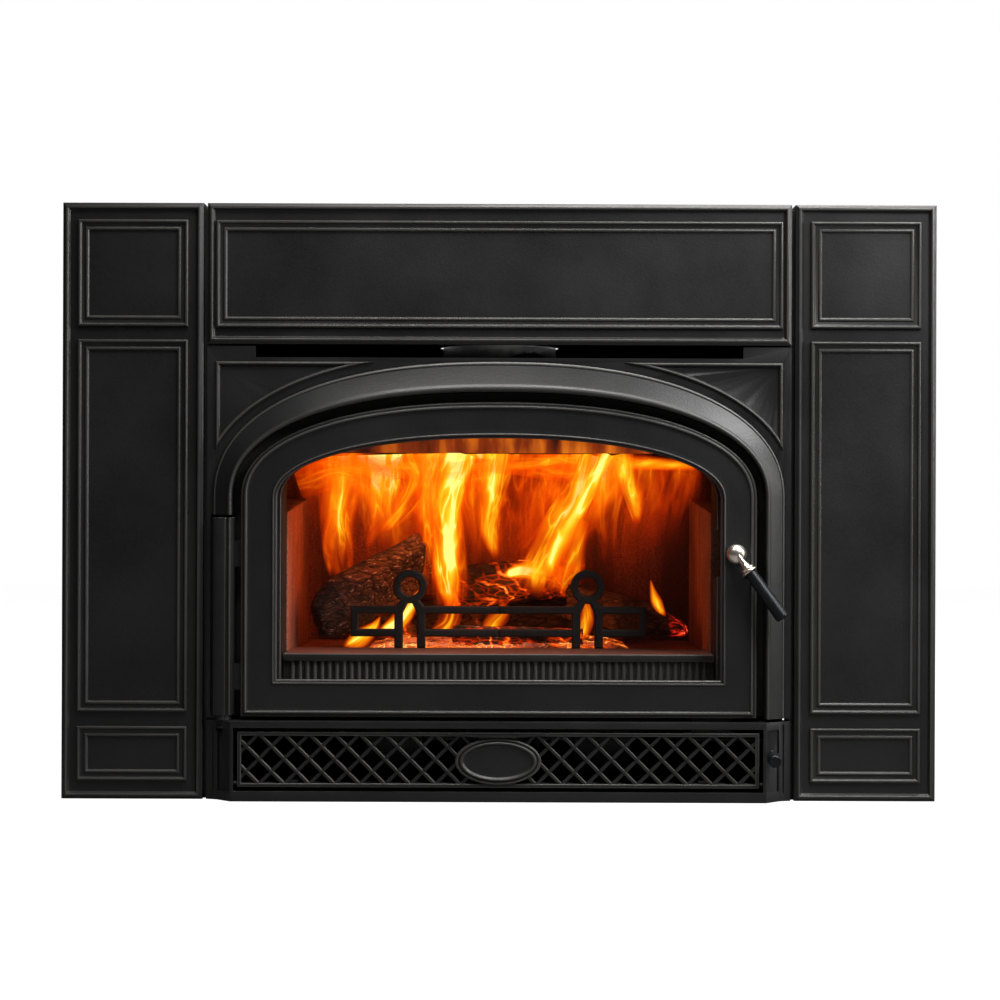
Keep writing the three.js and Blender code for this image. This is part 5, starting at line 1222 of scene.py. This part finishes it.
def bedHeight(x, y):
    edge = min(1.0, (bs["half"] - abs(x)) / 34, (y - bs["front"]) / 16, (bs["back"] - y) / 40)
    lump = noise.cell_vector(Vector((x / 15, y / 15, 4.0))).x * bs["lump"]
    grit = noise.noise(Vector((x / 9, y / 9, 2.0))) * bs["grit"]
    return bs["low"] + max(0.0, edge) ** 0.6 * (bs["thick"] + (lump + grit))


# quads of a sheet whose points run row by row
def sheetFaces(columns, rows):
    corners = [j * columns + i for j in range(rows - 1) for i in range(columns - 1)]
    return [(a, a + 1, a + columns + 1, a + columns) for a in corners]


columns = int(2 * bs["half"] / bs["step"]) + 1
rows = int((bs["back"] - bs["front"]) / bs["step"]) + 1
points = []
for j in range(rows):
    for i in range(columns):
        x, y = -bs["half"] + i * bs["step"], bs["front"] + j * bs["step"]
        points.append((x, y, bedHeight(x, y)))
faces = sheetFaces(columns, rows)
rim = list(range(columns)) + [columns - 1 + columns * j for j in range(1, rows)]
rim += [columns * (rows - 1) + i for i in range(columns - 2, -1, -1)]
rim += [columns * j for j in range(rows - 2, 0, -1)]
base = len(points)
points += [(points[i][0], points[i][1], bs["low"]) for i in rim]
for k in range(len(rim)):
    m = (k + 1) % len(rim)
    faces.append((rim[k], rim[m], base + m, base + k))
faces.append(tuple(range(base, base + len(rim))))
piece("emberBed", [(points, faces)], "ember", "stove", (), 50)
print("embers made")

# fire: curved ribbons whose strands and heat follow their own coordinates

flameShape = {"acrossScale": 14.0, "alongScale": 74.0, "columns": 17, "rows": 44, "cut": 429.0,
    "swell": 1.2, "thinnest": 0.6, "waver": 4.0, "curl": 0.3}
fs = flameShape


# a smooth value between the stations of a drawn line
def between(values, t):
    last = len(values) - 1
    i = min(int(t * last), last - 1)
    f = t * last - i
    a, b = values[i], values[i + 1]
    before = values[i - 1] if i > 0 else 2 * a - b
    after = values[i + 2] if i + 2 <= last else 2 * b - a
    return 0.5 * (2 * a + (b - before) * f + (2 * before - 5 * a + 4 * b - after) * f * f
        + (3 * a - before - 3 * b + after) * f ** 3)


# one ribbon: stations (x, z, half width), its depth and seed, how hot it burns, how hot it still is at
# its end, and how slowly it comes up at its start
def flamePart(stations, depth, seed, heat=1.0, end=0.2, start=0.0):
    points, courses, burns = [], [], []
    xs, zs, halves = zip(*stations)
    halves = [fs["swell"] * half for half in halves]
    run, last = 0.0, None
    for j in range(fs["rows"]):
        v = j / (fs["rows"] - 1)
        x, z, half = between(xs, v), between(zs, v), max(between(halves, v), fs["thinnest"])
        after, before = min(v + 0.01, 1), max(v - 0.01, 0)
        stepX, stepZ = (between(line, after) - between(line, before) for line in (xs, zs))
        ahead = Vector((stepX, 0, stepZ)).normalized()
        side = Vector((ahead.z, 0, -ahead.x))
        run += (Vector((x, 0, z)) - last).length if last else 0.0
        last = Vector((x, 0, z))
        for i in range(fs["columns"]):
            u = 2 * i / (fs["columns"] - 1) - 1
            place = last + side * (u * half)
            y = depth + math.sin(v * 5 + seed * 2) * fs["waver"] + u * u * half * fs["curl"]
            points.append((place.x, y, min(place.z, fs["cut"])))
            courses.append((u * half / fs["acrossScale"], run / fs["alongScale"], seed * 3.7))
            edge = max(0.0, 1 - abs(u) ** 1.7)
            rise = v ** start if start else min(1.0, v * 7 + 0.15)
            burns.append(heat * edge * rise * (1 - (1 - end) * v ** 3))
    return points, sheetFaces(fs["columns"], fs["rows"]), courses, burns


def flamesToObject(name, sheets, look):
    points, faces, courses, burns = [], [], [], []
    for sheetPoints, sheetQuads, sheetCourses, sheetBurns in sheets:
        base = len(points)
        points += [tuple(c * mm for c in point) for point in sheetPoints]
        faces += [tuple(base + i for i in face) for face in sheetQuads]
        courses += sheetCourses
        burns += sheetBurns
    mesh = bpy.data.meshes.new(name)
    mesh.from_pydata(points, [], faces)
    course = mesh.attributes.new("course", "FLOAT_VECTOR", "POINT")
    course.data.foreach_set("vector", [c for point in courses for c in point])
    mesh.attributes.new("burn", "FLOAT", "POINT").data.foreach_set("value", burns)
    mesh.materials.append(looks[look])
    mesh.shade_smooth()
    return settle(toObject(name, mesh), name, "stove", ())


# stations of the columns, read off the photograph
columnsOfFire = {
    "mainColumn": [(-66, 214, 18), (-70, 262, 30), (-72, 310, 36), (-72, 365, 48), (-58, 429, 78)],
    "mainCore": [(-62, 222, 10), (-68, 270, 18), (-68, 320, 20), (-66, 370, 25), (-52, 429, 36)],
    "mainLeft": [(-78, 240, 6), (-92, 300, 14), (-96, 352, 22), (-92, 392, 30), (-96, 429, 40)],
    "leftTongue": [(-204, 246, 9), (-217, 300, 19), (-219, 350, 24), (-204, 403, 44), (-186, 429, 52)],
    "leftSmall": [(-228, 262, 3), (-232, 300, 8), (-224, 340, 10), (-214, 374, 4)],
    "leftPlume": [(-178, 302, 4), (-160, 345, 14), (-172, 388, 26), (-222, 404, 28), (-272, 388, 20)],
    "leftArc": [(-134, 340, 6), (-138, 376, 16), (-166, 406, 20), (-214, 414, 18), (-262, 404, 12)],
    "leftHook": [(-158, 322, 5), (-124, 358, 17), (-108, 396, 26), (-124, 429, 44)],
    "middleDrop": [(-4, 286, 4), (-8, 330, 20), (-2, 372, 27), (10, 429, 52)],
    "rightColumn": [(40, 240, 22), (58, 286, 40), (84, 334, 38), (106, 376, 44), (122, 429, 70)],
    "rightCore": [(66, 262, 8), (80, 306, 15), (104, 350, 17), (126, 390, 20), (144, 429, 26)],
    "rightLow": [(86, 236, 10), (92, 268, 20), (98, 304, 18), (112, 340, 10)],
    "farTongue": [(186, 334, 5), (177, 368, 18), (170, 400, 26), (164, 429, 40)],
    "logCrest": [(4, 264, 4), (36, 272, 12), (74, 270, 13), (116, 281, 5)],
}
# each one's depth, seed, heat, and heat at its end
columnBurns = {
    "mainColumn": (198, 1.0, 1.05, 0.9), "mainCore": (184, 2.3, 1.35, 1.0),
    "mainLeft": (214, 2.9, 0.85, 0.8), "leftTongue": (220, 3.1, 0.85, 0.5),
    "leftSmall": (226, 3.8, 0.7, 0.3), "leftPlume": (206, 4.4, 0.95, 0.45),
    "leftArc": (212, 4.9, 0.8, 0.35), "leftHook": (200, 5.2, 0.95, 0.8),
    "middleDrop": (208, 6.1, 0.95, 0.9), "rightColumn": (202, 7.7, 1.0, 0.8),
    "rightCore": (188, 8.8, 1.05, 0.8), "rightLow": (194, 9.3, 0.95, 0.5),
    "farTongue": (196, 9.9, 0.85, 0.7), "logCrest": (212, 11.0, 1.15, 0.3),
}
ribbons = [flamePart(stations, *columnBurns[word]) for word, stations in columnsOfFire.items()]
lowFlames = {
    "emberFoot": [(-204, 172, 4), (-184, 182, 12), (-166, 196, 8), (-156, 212, 1)],
    "leftFoot": [(-160, 190, 3), (-132, 206, 11), (-112, 232, 7), (-100, 252, 1)],
    "middleFoot": [(-92, 184, 4), (-68, 204, 14), (-62, 232, 11), (-70, 262, 3)],
    "lowMiddle": [(-20, 184, 4), (-8, 202, 12), (6, 220, 9), (2, 240, 1)],
    "lowRight": [(108, 182, 4), (114, 202, 9), (116, 222, 7), (110, 242, 1)],
    "rightLick": [(218, 214, 3), (208, 232, 7), (202, 248, 4), (199, 262, 1)],
}
for k, stations in enumerate(lowFlames.values()):
    ribbons.append(flamePart(stations, 150 - 2 * k, 12.5 + 1.3 * k, 1.25 if k < 3 else 1.0, 0.4))
flamesToObject("flameTongues", ribbons, "flame")
broad = {
    "leftVeil": [(-120, 222, 46), (-124, 300, 96), (-130, 370, 126), (-132, 429, 140)],
    "rightVeil": [(90, 226, 50), (98, 300, 96), (108, 370, 124), (118, 429, 138)],
    "middleVeil": [(0, 236, 60), (0, 300, 90), (0, 360, 110), (0, 429, 130)],
    "redVeil": [(196, 256, 14), (222, 320, 34), (236, 372, 40), (244, 416, 30)],
}
veils = [flamePart(stations, 256 - 7 * k, 21.0 + 2.2 * k, (1.75, 1.5, 1.6, 0.7)[k], 1.0, 1.7)
    for k, stations in enumerate(broad.values())]
roof = []
for k, (x0, x1, z) in enumerate(((-262, 60, 410), (-70, 262, 412), (-236, 236, 416))):
    line = [(x0 + (x1 - x0) * t / 4, z + 5 * math.sin(2.1 * t + k), 16 - 5 * abs(t - 2)) for t in range(5)]
    roof.append(flamePart(line, 180 + 16 * k, 31.0 + 3 * k, 0.85, 0.8))
veils += roof
flamesToObject("flameVeils", veils, "haze")
print("fire made")

# floor

floorShape = {"reach": 6.0, "below": -0.0006}
reach, below = floorShape["reach"], floorShape["below"]
floorMesh = bpy.data.meshes.new("floor")
corners = [(-reach, -reach, below), (reach, -reach, below), (reach, reach, below), (-reach, reach, below)]
floorMesh.from_pydata(corners, [], [(0, 1, 2, 3)])
floorMesh.materials.append(looks["floor"])
floor = toObject("floor", floorMesh)
print("floor made")
